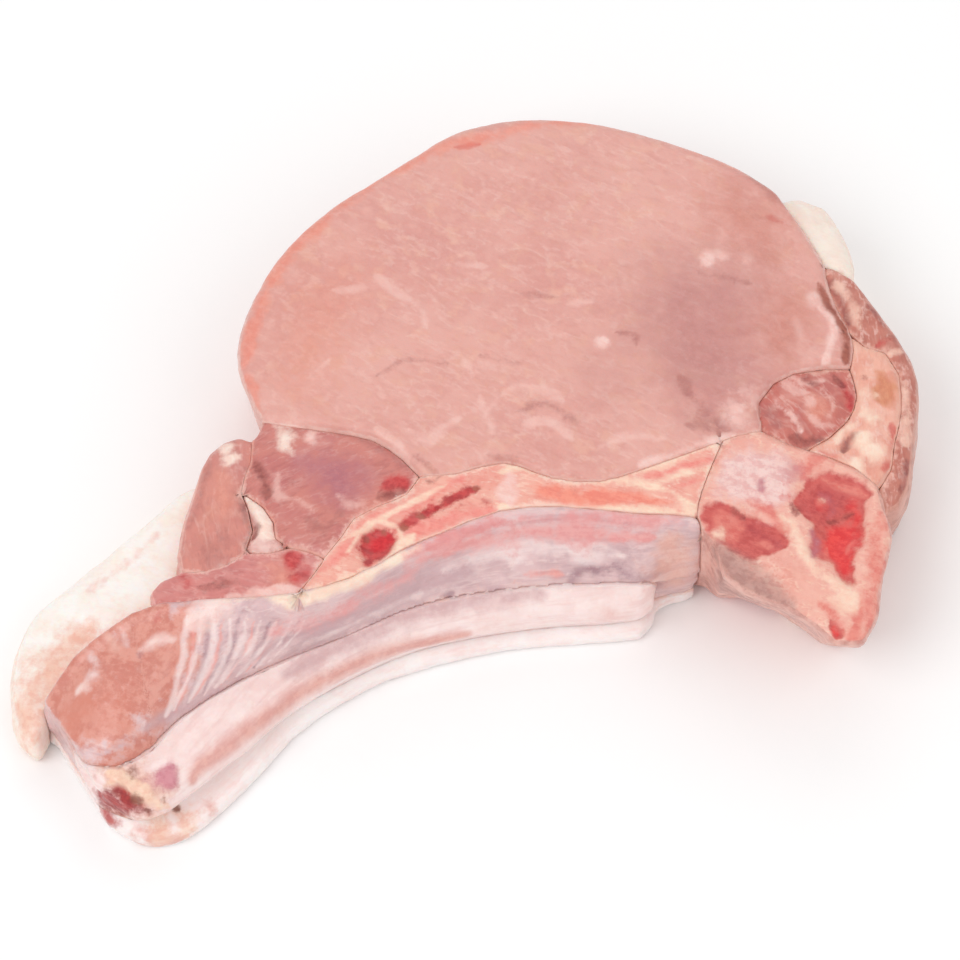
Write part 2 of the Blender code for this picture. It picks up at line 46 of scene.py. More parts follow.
finish = {
    "voxel": 0.5,                # mesh step of the dressed pieces, mm
    "smoothing": 4,              # passes that take the facets out
    "swell": 0.18,               # how far a piece grows where nothing is beside it, mm
    "clearance": 0.04,           # what stays open between two neighbours, mm
    "seamReach": 3.0,            # how far from a neighbour the seam is felt, mm
    "seamNear": 2.6,             # how near a neighbour a point is held apart from it, mm
    "seamPasses": 3,             # how often that is done
    "evenPasses": 2,             # how often the moves are averaged with those beside them
    "gapClosed": (1.3, 2.4),     # gaps up to the first are closed, those past the second stay, mm
    "facing": (0.05, 0.35),      # how squarely a point must face the gap for that
    "seamWall": (0.94, 1.0),     # points that face it this squarely aren't levelled
    "levelled": (0.3, 0.62),     # where on the way to the seam the border comes level
    "creased": (0.6, 0.9),       # where on that way a crease is pressed in
    "cutFace": (0.25, 0.7),      # how upright the normal of a cut face is
    "side": (0.35, 0.85),        # and where a side's skin ends
    "wobbleSize": 2.8,           # how coarse the marks' uneven edges are, mm
    "wobbleMost": 1.5,           # and how far they may stray, mm
    "breakSize": 1.7,            # how coarse their fainter places are, mm
    "breakShare": 0.16,          # and how much fainter those are
}
# The foot of the inner wall, from the backbone to the flank end: the fibres of the wall and rib follow it.
wallFoot = ((38.0, -12.8), (33.5, -13.4), (27.0, -18.0), (13.5, -19.0), (3.4, -20.4), (-6.5, -22.6),
            (-15.0, -25.6), (-23.5, -30.4), (-31.5, -36.8), (-38.5, -45.5), (-46.0, -53.5), (-55.5, -56.2),
            (-64.0, -52.0))


def tone(code):
    # the shader's linear colour for a hex code
    shares = [int(code[place:place + 2], 16) / 255 for place in (0, 2, 4)]
    linear = [share / 12.92 if share <= 0.04045 else ((share + 0.055) / 1.055) ** 2.4 for share in shares]
    return (*linear, 1.0)


def ramp(value, low, high):
    share = np.clip((value - low) / (high - low), 0, 1)
    return share * share * (3 - 2 * share)


def latticeValue(cell, seed):
    # the same value from -1 to 1 each time for a cell, from large primes that mix its numbers up
    low32 = 0xFFFFFFFF
    mixed = cell @ np.array((374761393, 668265263, 1440662683)) + seed * 974634777
    mixed &= low32
    mixed = ((mixed ^ (mixed >> 13)) * 1274126177) & low32
    return ((mixed ^ (mixed >> 16)) & 0xFFFF) / 32767.5 - 1


def noise(points, size, seed):
    scaled = points / size
    cell = np.floor(scaled).astype(np.int64)
    share = scaled - cell
    share = share * share * (3 - 2 * share)
    total = np.zeros(len(points))
    for corner in range(8):
        offset = (corner & 1, corner >> 1 & 1, corner >> 2)
        weight = np.ones(len(points))
        for axis in range(3):
            weight *= share[:, axis] if offset[axis] else 1 - share[:, axis]
        total += weight * latticeValue(cell + offset, seed)
    return total


def cloud(points, size, seed, layers=3):
    total = np.zeros(len(points))
    for layer in range(layers):
        total += noise(points, size / 2 ** layer, seed + layer) / 2 ** layer
    return total


def smoothLine(points, steps=4):
    # a curve through the points, which bends evenly
    points = np.array(points, float)
    if len(points) < 3:
        return points
    padded = np.vstack((2 * points[0] - points[1], points, 2 * points[-1] - points[-2]))
    made = []
    for before, start, end, after in zip(padded, padded[1:], padded[2:], padded[3:]):
        for step in range(steps):
            t = step / steps
            made.append(0.5 * (2 * start + (end - before) * t
                               + (2 * before - 5 * start + 4 * end - after) * t ** 2
                               + (3 * start - before - 3 * end + after) * t ** 3))
    return np.array(made + [points[-1]])


def nearestOn(line, points):
    # how far each point is from the line, and how far along the line its nearest place is
    points = points[:, :line.shape[1]]
    best = np.linalg.norm(points - line[0], axis=1)
    found = np.zeros(len(points))
    passed = 0.0
    for start, end in zip(line, line[1:]):
        run = end - start
        length = np.linalg.norm(run)
        share = np.clip((points - start) @ run / length ** 2, 0, 1)
        away = np.linalg.norm(points - start - share[:, None] * run, axis=1)
        nearer = away < best
        best = np.where(nearer, away, best)
        found = np.where(nearer, passed + share * length, found)
        passed += length
    return best, found / max(passed, 1e-9), passed


def insideOf(loop, points):
    # counts the loop's sides that a line from each point crosses
    inside = np.zeros(len(points), bool)
    x, y = points[:, 0], points[:, 1]
    for (x0, y0), (x1, y1) in zip(loop, np.roll(loop, -1, axis=0)):
        if y0 != y1:
            inside ^= ((y0 > y) != (y1 > y)) & (x < (x1 - x0) * (y - y0) / (y1 - y0) + x0)
    return inside


# Each mark fills a channel from 0 to 1, and its edge is where the channel passes 0.5.
# Points of two numbers mark both cut faces, and points of three mark one place on a side.
# width is half the mark's own in mm, strength is its share at the middle, and lift is how far it rises
# in mm. wander is how uneven its edge is, and a stroke that clings is laid on the surface first.

def newMark(shape, channel, width, strength, points, lift=0, wander=1, clings=False):
    return {"shape": shape, "channel": channel, "width": width, "strength": strength, "points": points,
            "lift": lift, "wander": wander, "clings": clings}


def stroke(channel, width, strength, *points, **more):
    return newMark("line", channel, width, strength, smoothLine(points), **more)


def spot(channel, width, strength, *centres, **more):
    return newMark("spots", channel, width, strength, np.array(centres, float), **more)


def patch(channel, width, strength, *points, **more):
    return newMark("loop", channel, width, strength, smoothLine(points + points[:1])[:-1], **more)


def clinging(line, points):
    return np.array([points[np.argmin(np.sum((points - place) ** 2, axis=1))] for place in line])


def markShare(mark, points, wobble, breaks, faceShare):
    width = mark["width"]
    drawn = mark["points"]
    if mark["shape"] == "line":
        away, along, _ = nearestOn(clinging(drawn, points) if mark["clings"] else drawn, points)
        away = away / (0.5 + 0.5 * np.sqrt(np.clip(5 * along * (1 - along), 0, 1)))  # thin at both ends
    elif mark["shape"] == "spots":
        away = np.min([nearestOn(centre[None], points)[0] for centre in drawn], axis=0)
    else:
        away = nearestOn(np.vstack((drawn, drawn[:1])), points)[0]
        away = np.where(insideOf(drawn, points), -away, away) + width
    away = away + wobble * min(finish["wobbleMost"], width * 0.75) * mark["wander"]
    share = np.clip(1 - away / (2 * width), 0, 1) * (1 + finish["breakShare"] * breaks) * mark["strength"]
    return share * faceShare if drawn.shape[1] == 2 else share


class Socket:
    def __init__(self, output):
        self.output = output

    def sum(self, operation, first, second=None):
        tree = self.output.id_data
        node = tree.nodes.new("ShaderNodeMath")
        node.operation = operation
        for entry, value in zip(node.inputs, (first, second)):
            if isinstance(value, Socket):
                tree.links.new(value.output, entry)
            elif value is not None:
                entry.default_value = value
        return Socket(node.outputs[0])

    def __add__(self, other):
        return self.sum("ADD", self, other)

    def __radd__(self, other):
        return self.sum("ADD", other, self)

    def __sub__(self, other):
        return self.sum("SUBTRACT", self, other)

    def __rsub__(self, other):
        return self.sum("SUBTRACT", other, self)

    def __mul__(self, other):
        return self.sum("MULTIPLY", self, other)

    def __rmul__(self, other):
        return self.sum("MULTIPLY", other, self)

    def __abs__(self):
        return self.sum("ABSOLUTE", self)


class Recipe:
    def __init__(self, name):
        self.material = bpy.data.materials.new(name)
        self.material.use_nodes = True
        self.tree = self.material.node_tree
        self.tree.nodes.clear()

    def add(self, kind, settings=None, entries=None, output=0):
        node = self.tree.nodes.new(kind)
        for key, value in (settings or {}).items():
            setattr(node, key, value)
        for key, value in (entries or {}).items():
            if isinstance(value, Socket):
                self.tree.links.new(value.output, node.inputs[key])
            else:
                node.inputs[key].default_value = value
        return Socket(node.outputs[output]) if node.outputs else None

    def mix(self, share, first, second):
        # entries and output by number, because those of every data type have the same names
        return self.add("ShaderNodeMix", {"data_type": "RGBA"}, {0: share, 6: first, 7: second}, output=2)

    def vector(self, operation, first, second):
        entries = {0: first, ("Scale" if operation == "SCALE" else 1): second}
        return self.add("ShaderNodeVectorMath", {"operation": operation}, entries)

    def noise(self, place, size, detail, rough, output="Fac"):
        entries = {"Vector": place, "Scale": 1 / size, "Detail": detail, "Roughness": rough}
        return self.add("ShaderNodeTexNoise", {}, entries, output)

    def warped(self, place, size, reach):
        push = self.vector("SUBTRACT", self.noise(place, size, 1.0, 0.5, output="Color"), (0.5, 0.5, 0.5))
        return self.vector("ADD", place, self.vector("SCALE", push, 2 * reach))

    def window(self, value, low, high, top=1.0):
        # rises smoothly from 0 to top while the value goes from low to high
        entries = {"Value": value, "From Min": low, "From Max": high, "To Min": 0.0, "To Max": top}
        return self.add("ShaderNodeMapRange", {"interpolation_type": "SMOOTHSTEP"}, entries)

    def voronoi(self, place, size, feature):
        entries = {"Vector": place, "Scale": 1 / size}
        return self.add("ShaderNodeTexVoronoi", {"feature": feature}, entries)

    def attribute(self, name):
        return self.add("ShaderNodeAttribute", {"attribute_name": name}, output="Fac")


# A layer is painted where its channel is full: its two tones, how soft and how ragged its edge is, and
# how much it covers.
def layer(shade, deep, soft, ragged, cover):
    return {"shade": tone(shade), "deep": tone(deep), "soft": soft, "ragged": ragged, "cover": cover}


layerKinds = {
    "blush": layer("de8e7c", "e89e8c", 0.4, 0.3, 0.8),
    "purple": layer("be828a", "c88e92", 0.4, 0.3, 0.75),
    "flesh": layer("de9282", "ce7c6c", 0.3, 0.4, 1.0),
    "furrow": layer("b8746c", "ac6864", 0.36, 0.7, 0.6),
    "streak": layer("f6cac0", "f0beb4", 0.33, 0.6, 0.6),
    "pale": layer("f9d4cc", "f4c2b8", 0.32, 0.6, 0.85),
    "fat": layer("fdeade", "fadacc", 0.3, 0.6, 0.9),
    "blood": layer("d04848", "b83236", 0.24, 0.4, 0.95),
    "dark": layer("a65c54", "8c4642", 0.32, 0.6, 0.8),
}

# What every piece starts from; a share says how strongly a tone is laid over the others.
common = {
    "lean": ("e4a89e", "d69288"), "mottle": 16, "mottleShare": 0.6,
    "drift": "e8b4a4", "driftShare": 0.5, "driftSize": 4.2, "fineSize": 1.3,
    # the grain is a noise, turned and drawn out along the fibres
    "grainTone": "c88076", "grainShare": 0.35, "grainSize": 1.1, "grainTurn": 0.35,
    "grainStretch": (0.35, 1, 0.35), "followsWall": False,
    "bundleTone": "f0c2b8", "bundleShare": 0.16, "bundleSize": 2.6, "bundleLine": 0.12,
    "marbleTone": "f6cec4", "marbleShare": 0.18, "marbleSize": 5,
    "poreTone": "be5046", "poreShare": 0, "poreSize": 0.8,
    # sides have a skin, and the seams a soft border with a pale line along it
    "skin": ("eec6bc", "d6968c"), "skinShare": 0.85,
    "seamTone": "f6cabe", "seamShare": 0.6, "lineTone": "fad8cc", "lineShare": 0.7,
    "roughness": 0.42, "wet": 0.35, "wetRoughness": 0.14, "bump": 0.45, "bumpDepth": 0.0005,
    "scatter": 0.16, "scatterScale": 0.0012, "scatterRadius": (1, 0.42, 0.3), "index": 1.4,
    # sizes and heights of the surface's waves, the seam's crease, and how far the border is levelled, mm
    "relief": ((9, 0.16), (2.6, 0.09)), "crease": 0, "flush": 1.5,
    "layers": {}, "marks": (),
}


def grainPlace(recipe, place, look):
    if look["followsWall"]:
        channels = zip("XYZ", ("run", "rise", "inward"))
        entries = {axis: recipe.attribute(name) for axis, name in channels}
        laid = recipe.add("ShaderNodeCombineXYZ", {}, entries)
    else:
        laid = recipe.add("ShaderNodeMapping", {}, {"Vector": place, "Rotation": (0, 0, look["grainTurn"])})
    return recipe.vector("MULTIPLY", laid, look["grainStretch"])


def fleshMaterial(name, look, used):
    recipe = Recipe(name)
    place = recipe.vector("SCALE", recipe.add("ShaderNodeTexCoord", output="Object"), 1 / millimetre)
    along = grainPlace(recipe, place, look)
    broad = recipe.noise(place, look["mottle"], 2.0, 0.55)
    middle = recipe.noise(place, look["driftSize"], 3.0, 0.6)
    fine = recipe.noise(place, look["fineSize"], 3.0, 0.65)
    grain = recipe.noise(along, look["grainSize"], 3.0, 0.62)
    tint = broad * 0.5 + middle * 0.5
    lean, leanDeep = look["lean"]
    colour = tone(lean)

    def cover(share, code):
        return recipe.mix(share, colour, tone(code))

    colour = cover(recipe.window(tint, 0.4, 0.6, look["mottleShare"]), leanDeep)
    colour = cover(recipe.window(middle, 0.48, 0.68, look["driftShare"]), look["drift"])
    colour = cover(recipe.window(grain, 0.48, 0.7, look["grainShare"]), look["grainTone"])
    if look["bundleShare"]:
        cells = recipe.voronoi(recipe.warped(along, 3.0, 1.2), look["bundleSize"], "DISTANCE_TO_EDGE")
        web = recipe.window(cells, look["bundleLine"], 0.0, look["bundleShare"])
        colour = cover(web * recipe.window(middle, 0.36, 0.6), look["bundleTone"])
    if look["marbleShare"]:
        vein = abs(recipe.noise(along, look["marbleSize"] * 0.55, 3.0, 0.6) - 0.5)
        vein = recipe.window(vein, 0.055, 0.0, look["marbleShare"])
        colour = cover(vein * recipe.window(fine, 0.36, 0.62), look["marbleTone"])
    if look["poreShare"]:
        pores = recipe.voronoi(recipe.warped(place, 1.2, 0.5), look["poreSize"], "F1")
        holes = recipe.window(pores, 0.45, 0.15, look["poreShare"])
        colour = cover(holes * recipe.window(middle, 0.4, 0.62), look["poreTone"])

    skinShade = recipe.window(tint * 0.5 + grain * 0.35 + fine * 0.3, 0.48, 0.72)
    skin = recipe.mix(skinShade, *[tone(code) for code in look["skin"]])
    wall = recipe.attribute("wall") + (middle - 0.5) * 0.6
    colour = recipe.mix(recipe.window(wall, 0.35, 0.65, look["skinShare"]), colour, skin)
    seam = recipe.attribute("seam")
    ragged = (fine - 0.5) * 1.2 + (middle - 0.5) * 1.0
    colour = cover(recipe.window(seam + ragged * 0.7, 0.5, 0.8, look["seamShare"]), look["seamTone"])
    shade = recipe.window(grain * 0.5 + fine * 0.5, 0.42, 0.6)
    for channel, kind in {**layerKinds, **look["layers"]}.items():
        if channel in used:
            edge = recipe.attribute(channel) + ragged * kind["ragged"]
            share = recipe.window(edge, 0.5 - kind["soft"], 0.5 + kind["soft"], kind["cover"])
            colour = recipe.mix(share, colour, recipe.mix(shade, kind["shade"], kind["deep"]))
    colour = cover(recipe.window(seam + ragged * 0.5, 0.76, 0.94, look["lineShare"]), look["lineTone"])

    height = grain * 0.6 + fine * 0.5
    bump = {"Strength": look["bump"], "Distance": look["bumpDepth"], "Height": height}
    shader = recipe.add("ShaderNodeBsdfPrincipled", {"subsurface_method": "RANDOM_WALK"}, {
        "Base Color": colour,
        "Roughness": look["roughness"] + (tint - 0.5) * 0.3 + (fine - 0.5) * 0.2,
        "Normal": recipe.add("ShaderNodeBump", {}, bump),
        "Coat Weight": recipe.window(tint, 0.42, 0.6, look["wet"]), "Coat Roughness": look["wetRoughness"],
        "Subsurface Weight": look["scatter"], "Subsurface Scale": look["scatterScale"],
        "Subsurface Radius": look["scatterRadius"], "IOR": look["index"]})
    recipe.add("ShaderNodeOutputMaterial", {}, {"Surface": shader})
    return recipe.material


def meshTree(names):
    # finds the nearest place on these CAD solids
    corners, faces = [], []
    for name in names:
        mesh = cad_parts[name].data
        first = len(corners)
        corners += [tuple(vertex.co) for vertex in mesh.vertices]
        faces += [[first + index for index in face.vertices] for face in mesh.polygons]
    return BVHTree.FromPolygons(corners, faces)


def fineCopy(node, name):
    piece = bpy.data.objects.new(name, node.data.copy())
    scene.collection.objects.link(piece)
    remesh = piece.modifiers.new("remesh", "REMESH")
    remesh.mode = "VOXEL"
    remesh.voxel_size = finish["voxel"] * millimetre
    remesh.use_smooth_shade = True
    smooth = piece.modifiers.new("smooth", "SMOOTH")
    smooth.factor = 0.5
    smooth.iterations = finish["smoothing"]
    solved = piece.evaluated_get(bpy.context.evaluated_depsgraph_get())
    mesh = bpy.data.meshes.new_from_object(solved)
    piece.modifiers.clear()
    piece.data = mesh
    mesh.materials.clear()
    return piece


def nearestNeighbour(nodeName, points):
    # how far each point is from the other pieces, and which way
    others = meshTree([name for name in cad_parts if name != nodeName])
    reach = finish["seamReach"]
    gap = np.full(len(points), reach)
    way = np.zeros((len(points), 3))
    for index, corner in enumerate(points * millimetre):
        place, _, _, away = others.find_nearest(corner, reach * millimetre)
        if place is not None:
            gap[index] = away / millimetre
            way[index] = np.array(place) - corner
    return gap, way / np.maximum(np.linalg.norm(way, axis=1), 1e-9)[:, None]


def evenOut(mesh, vectors, passes):
    # averages each point's vector with those of the points joined to it
    ends = np.zeros(len(mesh.edges) * 2, np.int32)
    mesh.edges.foreach_get("vertices", ends)
    first, second = ends[0::2], ends[1::2]
    count = len(mesh.vertices)
    links = np.bincount(ends, minlength=count) + 1.0
    for _ in range(passes):
        total = vectors.copy()
        for axis in range(3):
            total[:, axis] += np.bincount(first, vectors[second, axis], count)
            total[:, axis] += np.bincount(second, vectors[first, axis], count)
        vectors = total / links[:, None]
    return vectors


def signedGap(tree, corner):
    # less than nothing inside the solid
    place, normal, _, away = tree.find_nearest(corner)
    return (-away if (corner - place).dot(normal) < 0 else away), place


def holdApart(nodeName, points, near):
    # keeps each point on its own side of the middle between its own solid and its neighbours'
    mine = meshTree([nodeName])
    others = meshTree([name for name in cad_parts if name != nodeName])
    room = finish["clearance"] * millimetre
    for _ in range(finish["seamPasses"]):
        for index in near:
            corner = Vector(points[index]) * millimetre
            theirGap, place = signedGap(others, corner)
            if theirGap > finish["seamReach"] * millimetre:
                continue
            short = signedGap(mine, corner)[0] + room - theirGap
            if short > 0:
                back = (corner - place) * (1 if theirGap > 0 else -1)
                points[index] = np.array(corner + back.normalized() * short / 2) / millimetre


def makePiece(nodeName, pieceName, own):
    look = {**common, **own}
    piece = fineCopy(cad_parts[nodeName], pieceName)
    mesh = piece.data
    count = len(mesh.vertices)
    points = np.zeros(count * 3, np.float32)
    normals = np.zeros(count * 3, np.float32)
    mesh.vertices.foreach_get("co", points)
    mesh.vertices.foreach_get("normal", normals)
    points = points.reshape(-1, 3).astype(float) / millimetre
    normals = normals.reshape(-1, 3).astype(float)
    drawn = points - drawingZero

    gap, way = nearestNeighbour(nodeName, points)
    seam = np.clip(1 - gap / finish["seamReach"], 0, 1)
    upright = np.abs(normals[:, 2])
    faceShare = ramp(upright, *finish["cutFace"])
    channels = {"wall": 1 - ramp(upright, *finish["side"]), "seam": seam}
    wobble = cloud(drawn, finish["wobbleSize"], seed=11, layers=4)
    breaks = cloud(drawn, finish["breakSize"], seed=29, layers=2)

    lift = np.full(count, finish["swell"])
    for size, height in look["relief"]:
        lift += height * cloud(drawn, size, seed=int(size * 10))
    for mark in look["marks"]:
        share = markShare(mark, drawn, wobble, breaks, faceShare)
        channel = mark["channel"]
        channels[channel] = np.maximum(channels.get(channel, 0), share)
        lift += mark["lift"] * ramp(share, 0.2, 0.8)

    # brings the rounded border level with the face, less its crease, and closes half the gap beside it
    facing = np.clip(np.sum(normals * way, axis=1), 0, 1)
    level = normals - facing[:, None] * way
    level /= np.maximum(np.linalg.norm(level, axis=1), 1e-6)[:, None]
    bare = 1 - ramp(facing, *finish["seamWall"])
    rise = look["flush"] * (1 - np.sqrt(1 - facing ** 2)) * bare * ramp(seam, *finish["levelled"])
    rise -= look["crease"] * ramp(seam, *finish["creased"]) * bare
    closing = ramp(facing, *finish["facing"]) * (1 - ramp(gap, *finish["gapClosed"]))
    across = closing * np.maximum(gap - finish["clearance"], 0) / 2
    lift *= 1 - closing
    push = normals * lift[:, None] + level * rise[:, None] + way * across[:, None]
    points += evenOut(mesh, push, finish["evenPasses"])
    holdApart(nodeName, points, np.flatnonzero(gap < finish["seamNear"]))
    points[:, 2] = np.maximum(points[:, 2], 0.0)  # nothing goes below what it lies on
    mesh.vertices.foreach_set("co", (points * millimetre).astype(np.float32).ravel())
    if look["followsWall"]:
        inward, along, length = nearestOn(smoothLine(wallFoot), drawn)
        channels.update({"run": along * length, "rise": drawn[:, 2], "inward": inward})
    for name, values in channels.items():
        attribute = mesh.attributes.new(name, "FLOAT", "POINT")
        attribute.data.foreach_set("value", values.astype(np.float32))
    mesh.update()
    mesh.materials.append(fleshMaterial(pieceName + " finish", look, channels))
    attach(piece, "root")
    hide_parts(nodeName)
    print(f"{pieceName}: {count} points, {len(mesh.polygons)} faces")


loinEye = {
    "lean": ("e6aca1", "d8938a"), "drift": "ecb4a0", "mottle": 22, "mottleShare": 0.75, "driftShare": 0.6,
    "grainStretch": (0.4, 1, 0.4), "grainTurn": 0.5, "grainShare": 0.25, "grainSize": 1.3,
    "grainTone": "d08c82", "bundleSize": 3.6, "marbleShare": 0.28, "marbleSize": 8, "seamShare": 0.35,
    "relief": ((22, 0.35), (5, 0.12), (1.8, 0.05)),
    "layers": {
        "purple": layer("b67674", "c28482", 0.5, 0.3, 0.66),
        "tan": layer("cc8274", "d89284", 0.42, 0.6, 0.8),
        "rim": layer("ea8a76", "f09c8a", 0.35, 0.6, 0.7),
        "dark": layer("ac5e4c", "964c3e", 0.34, 0.4, 0.92),
    },
    "marks": (
        patch("purple", 9, 0.85, (31.8, 44.3), (46.7, 43.5), (50, 29.4), (48.2, 18.7), (40.4, 10.6),
            (31.1, 15.4), (24.7, 26.9), (25.8, 37.6)),
        patch("purple", 6, 0.42, (14, 24), (24, 27), (30, 22), (28, 14), (18, 12)),
        patch("tan", 7, 0.8, (45, 60), (53, 52), (50, 42), (42, 47), (40, 56)),
        patch("tan", 5, 0.75, (50, 40), (56, 36), (57, 28), (52, 22), (47, 28)),
        patch("blush", 8, 0.62, (-36, 20), (-34, 34), (-24, 46), (-18, 40), (-22, 26), (-28, 14)),
        stroke("rim", 1.3, 0.85, (-37.3, 14.2), (-39.5, 21.1), (-39.3, 27.6), (-36.7, 37.3), (-32.6, 45.4),
            (-25.5, 53.4), (-18.4, 59.9), (-12.9, 63.4), (-6.2, 67), (0.7, 68.5), (7.3, 71), (16.1, 72.6),
            (23.4, 72.2)),
        stroke("rim", 1.2, 0.8, (35, 67.7), (40.8, 66), (45.8, 62.5)),
        stroke("blood", 0.7, 0.6, (-4.4, 66.6), (0, 67.2)),
        stroke("furrow", 0.9, 0.8, (47.2, 60.8), (50.5, 56.8), (56.9, 54.1)),
        stroke("blood", 0.8, 0.55, (49.7, 52), (53.3, 50.3)),
        # furrows and strands across the cut
        stroke("purple", 1.5, 0.85, (35.4, 16.2), (37.3, 14.5), (39.2, 12.8), (41, 10.5), lift=-0.35),
        stroke("furrow", 1, 0.85, (33.8, 19.6), (36.5, 15), (41.3, 9.5), lift=-0.2),
        stroke("furrow", 0.9, 0.75, (34.9, 10.2), (38.1, 10.1), (42, 9.8)),
        stroke("furrow", 0.7, 0.7, (38.6, 39.7), (42, 39.5), (46.4, 38.1)),
        stroke("furrow", 0.6, 0.6, (37.2, 40.5), (40, 38.8)),
        stroke("purple", 1.3, 0.75, (37.7, 34.6), (42.7, 33.8), (45.6, 35.5)),
        stroke("furrow", 0.5, 0.7, (23, 28.2), (26.2, 27.8), (26.5, 25.3)),
        stroke("furrow", 0.7, 0.58, (6.3, 12.7), (11.2, 14.3), (16.1, 10.7)),
        stroke("furrow", 0.7, 0.65, (-11.1, 4.5), (-7, 1.3)),
        stroke("furrow", 0.6, 0.65, (1.4, 4.4), (6.3, 3.4)),
        stroke("furrow", 0.7, 0.6, (0, 23.6), (7, 22)),
        stroke("furrow", 0.6, 0.55, (7.1, 36.1), (13.5, 35.2)),
        stroke("furrow", 0.6, 0.6, (-17.6, 19.7), (-12.7, 22.9), (-5.6, 22)),
        stroke("streak", 0.8, 0.75, (-17.9, 39.7), (-14.2, 36.3), (-9.9, 32.8), (-9.2, 29.5)),
        stroke("streak", 0.8, 0.7, (-25, 36.8), (-19.3, 37.2)),
        stroke("streak", 0.8, 0.68, (1.4, 13.1), (5.6, 17.5), (11.2, 16.7), (14, 14.7)),
        stroke("streak", 0.8, 0.85, (-11.9, 9.2), (-8.4, 6.8), (-6.3, 9.6), (-3.5, 11.5)),
        stroke("streak", 0.8, 0.85, (-17.5, 9.7), (-14, 6.9), (-11.8, 3.5)),
        stroke("streak", 0.7, 0.75, (0, 15.5), (2.1, 8.3)),
        stroke("streak", 0.7, 0.7, (-2.8, 22.8), (-1.1, 19.6)),
        stroke("streak", 0.7, 0.7, (-28.9, 20), (-25.4, 23.1)),
        stroke("streak", 0.8, 0.65, (14.2, 33.6), (19.2, 34.4)),
        stroke("streak", 0.7, 0.65, (-4.3, 42.1), (1.4, 41.6)),
        stroke("streak", 0.8, 0.8, (7, 9.9), (11.2, 10.7), (15.3, 7.5)),
        stroke("streak", 0.7, 0.7, (-13.7, 53.5), (-11.5, 53.5)),
        stroke("streak", 0.8, 0.75, (20, 6), (25, 8), (31, 7.6)),
        # The pale spots on this line and the next are painted glints: painted highlight on the wet cut
        # face.
        spot("pale", 1, 0.75, (20.9, 26.7)),
        spot("pale", 1.3, 0.78, (39.4, 42.9), (41.6, 43.6), (45.5, 42.8)),
        stroke("pale", 0.9, 1, (57.9, 33.9), (59.7, 31.8), (60.2, 29.2), (59.4, 26.1), (58.2, 22.9),
            lift=0.25),
        spot("pale", 1.3, 1, (57.2, 35.4), lift=0.2),
        stroke("pale", 0.8, 0.7, (53.7, 31.6), (54.7, 27.3)),
        stroke("dark", 1, 1, (58, 38.6), (60.2, 34), (61.8, 30.8), (62.4, 27), (62, 23.2), lift=-0.4),
        # This pale spot and the streak spot after it are a painted glint: painted highlight on the wet cut
        # face.
        spot("pale", 2.3, 0.8, (43, 13.2)),
        spot("streak", 2.2, 0.85, (46.4, 15.6)),
        stroke("pale", 0.9, 0.85, (26.7, 2.6), (32.5, 4.9), (39.7, 8), (43.5, 8.4)),
    ),
}
makePiece("loin_eye", "loinEye", loinEye)

darkMuscle = {
    "lean": ("d2867c", "c47270"), "drift": "dc968a", "mottle": 7, "mottleShare": 0.8, "grainTone": "ac605c",
    "grainTurn": -0.4, "marbleShare": 0.2, "bundleShare": 0.2, "bundleTone": "e4a89c", "bundleSize": 2.4,
    "skin": ("e8a698", "cc7e74"),
    "layers": {
        "purple": layer("b26a76", "c0767c", 0.42, 0.35, 0.8),
    },
    "marks": (
        patch("purple", 4, 0.95, (-30, 4), (-22, 5), (-19, 0), (-23, -4), (-28, -2)),
        patch("blush", 3, 0.6, (-20, -2), (-14, -1), (-13, -5), (-19, -9), (-23, -8)),
        spot("blood", 1.7, 0.74, (-12.9, -0.4), (-14.8, -0.8)),
        stroke("dark", 0.8, 0.75, (-17, -3), (-12.6, -1.8)),
        stroke("furrow", 0.9, 0.7, (-28.7, -7.1), (-26.1, -9.3), (-23, -6.1)),
        stroke("furrow", 0.8, 0.75, (-32, 9.6), (-27, 10.4), (-22, 9), (-16, 5.6), (-11.6, 2.2)),
        stroke("dark", 1, 0.85, (-37.6, 4.2), (-36.2, 0.8), (-35.4, -2.6), lift=-0.4),
        stroke("streak", 0.9, 0.72, (-27.5, -5.8), (-30, -4), (-33.8, -2.4), (-33.6, 1.7)),
        stroke("streak", 0.8, 0.58, (-24, -3), (-21, -4.6), (-18.6, -4)),
        spot("fat", 1.7, 0.9, (-32.4, 8.2), (-32.8, 6.9), lift=0.2),
        spot("pale", 1.4, 0.8, (-28.6, 8.3)),
    ),
}
makePiece("side_muscle", "darkMuscle", darkMuscle)

outerMuscle = {
    "lean": ("d99084", "c87c76"), "drift": "e09a86", "mottle": 8, "mottleShare": 0.75,
    "grainTone": "b67068", "grainTurn": 1.4, "marbleShare": 0.2, "skin": ("eeb8aa", "d69086"),
    "marks": (
        patch("blush", 2.2, 0.7, (-44, 3), (-41, 2), (-40.6, -4), (-43, -7), (-45.4, -2)),
        patch("furrow", 2, 0.6, (-46, -9), (-42, -8), (-40.6, -12), (-43, -14.6), (-47, -13.6)),
        spot("fat", 1.5, 0.85, (-42.6, 7), (-41.7, 5.2), lift=0.2),
        stroke("dark", 1, 0.75, (-39.7, 3.6), (-38.4, 0.4), (-39.5, -4), (-38.5, -8), (-39, -11.5)),
        stroke("furrow", 0.8, 0.6, (-45.2, 4.5), (-46.2, -1), (-48.2, -8)),
    ),
}
makePiece("outer_muscle", "outerMuscle", outerMuscle)

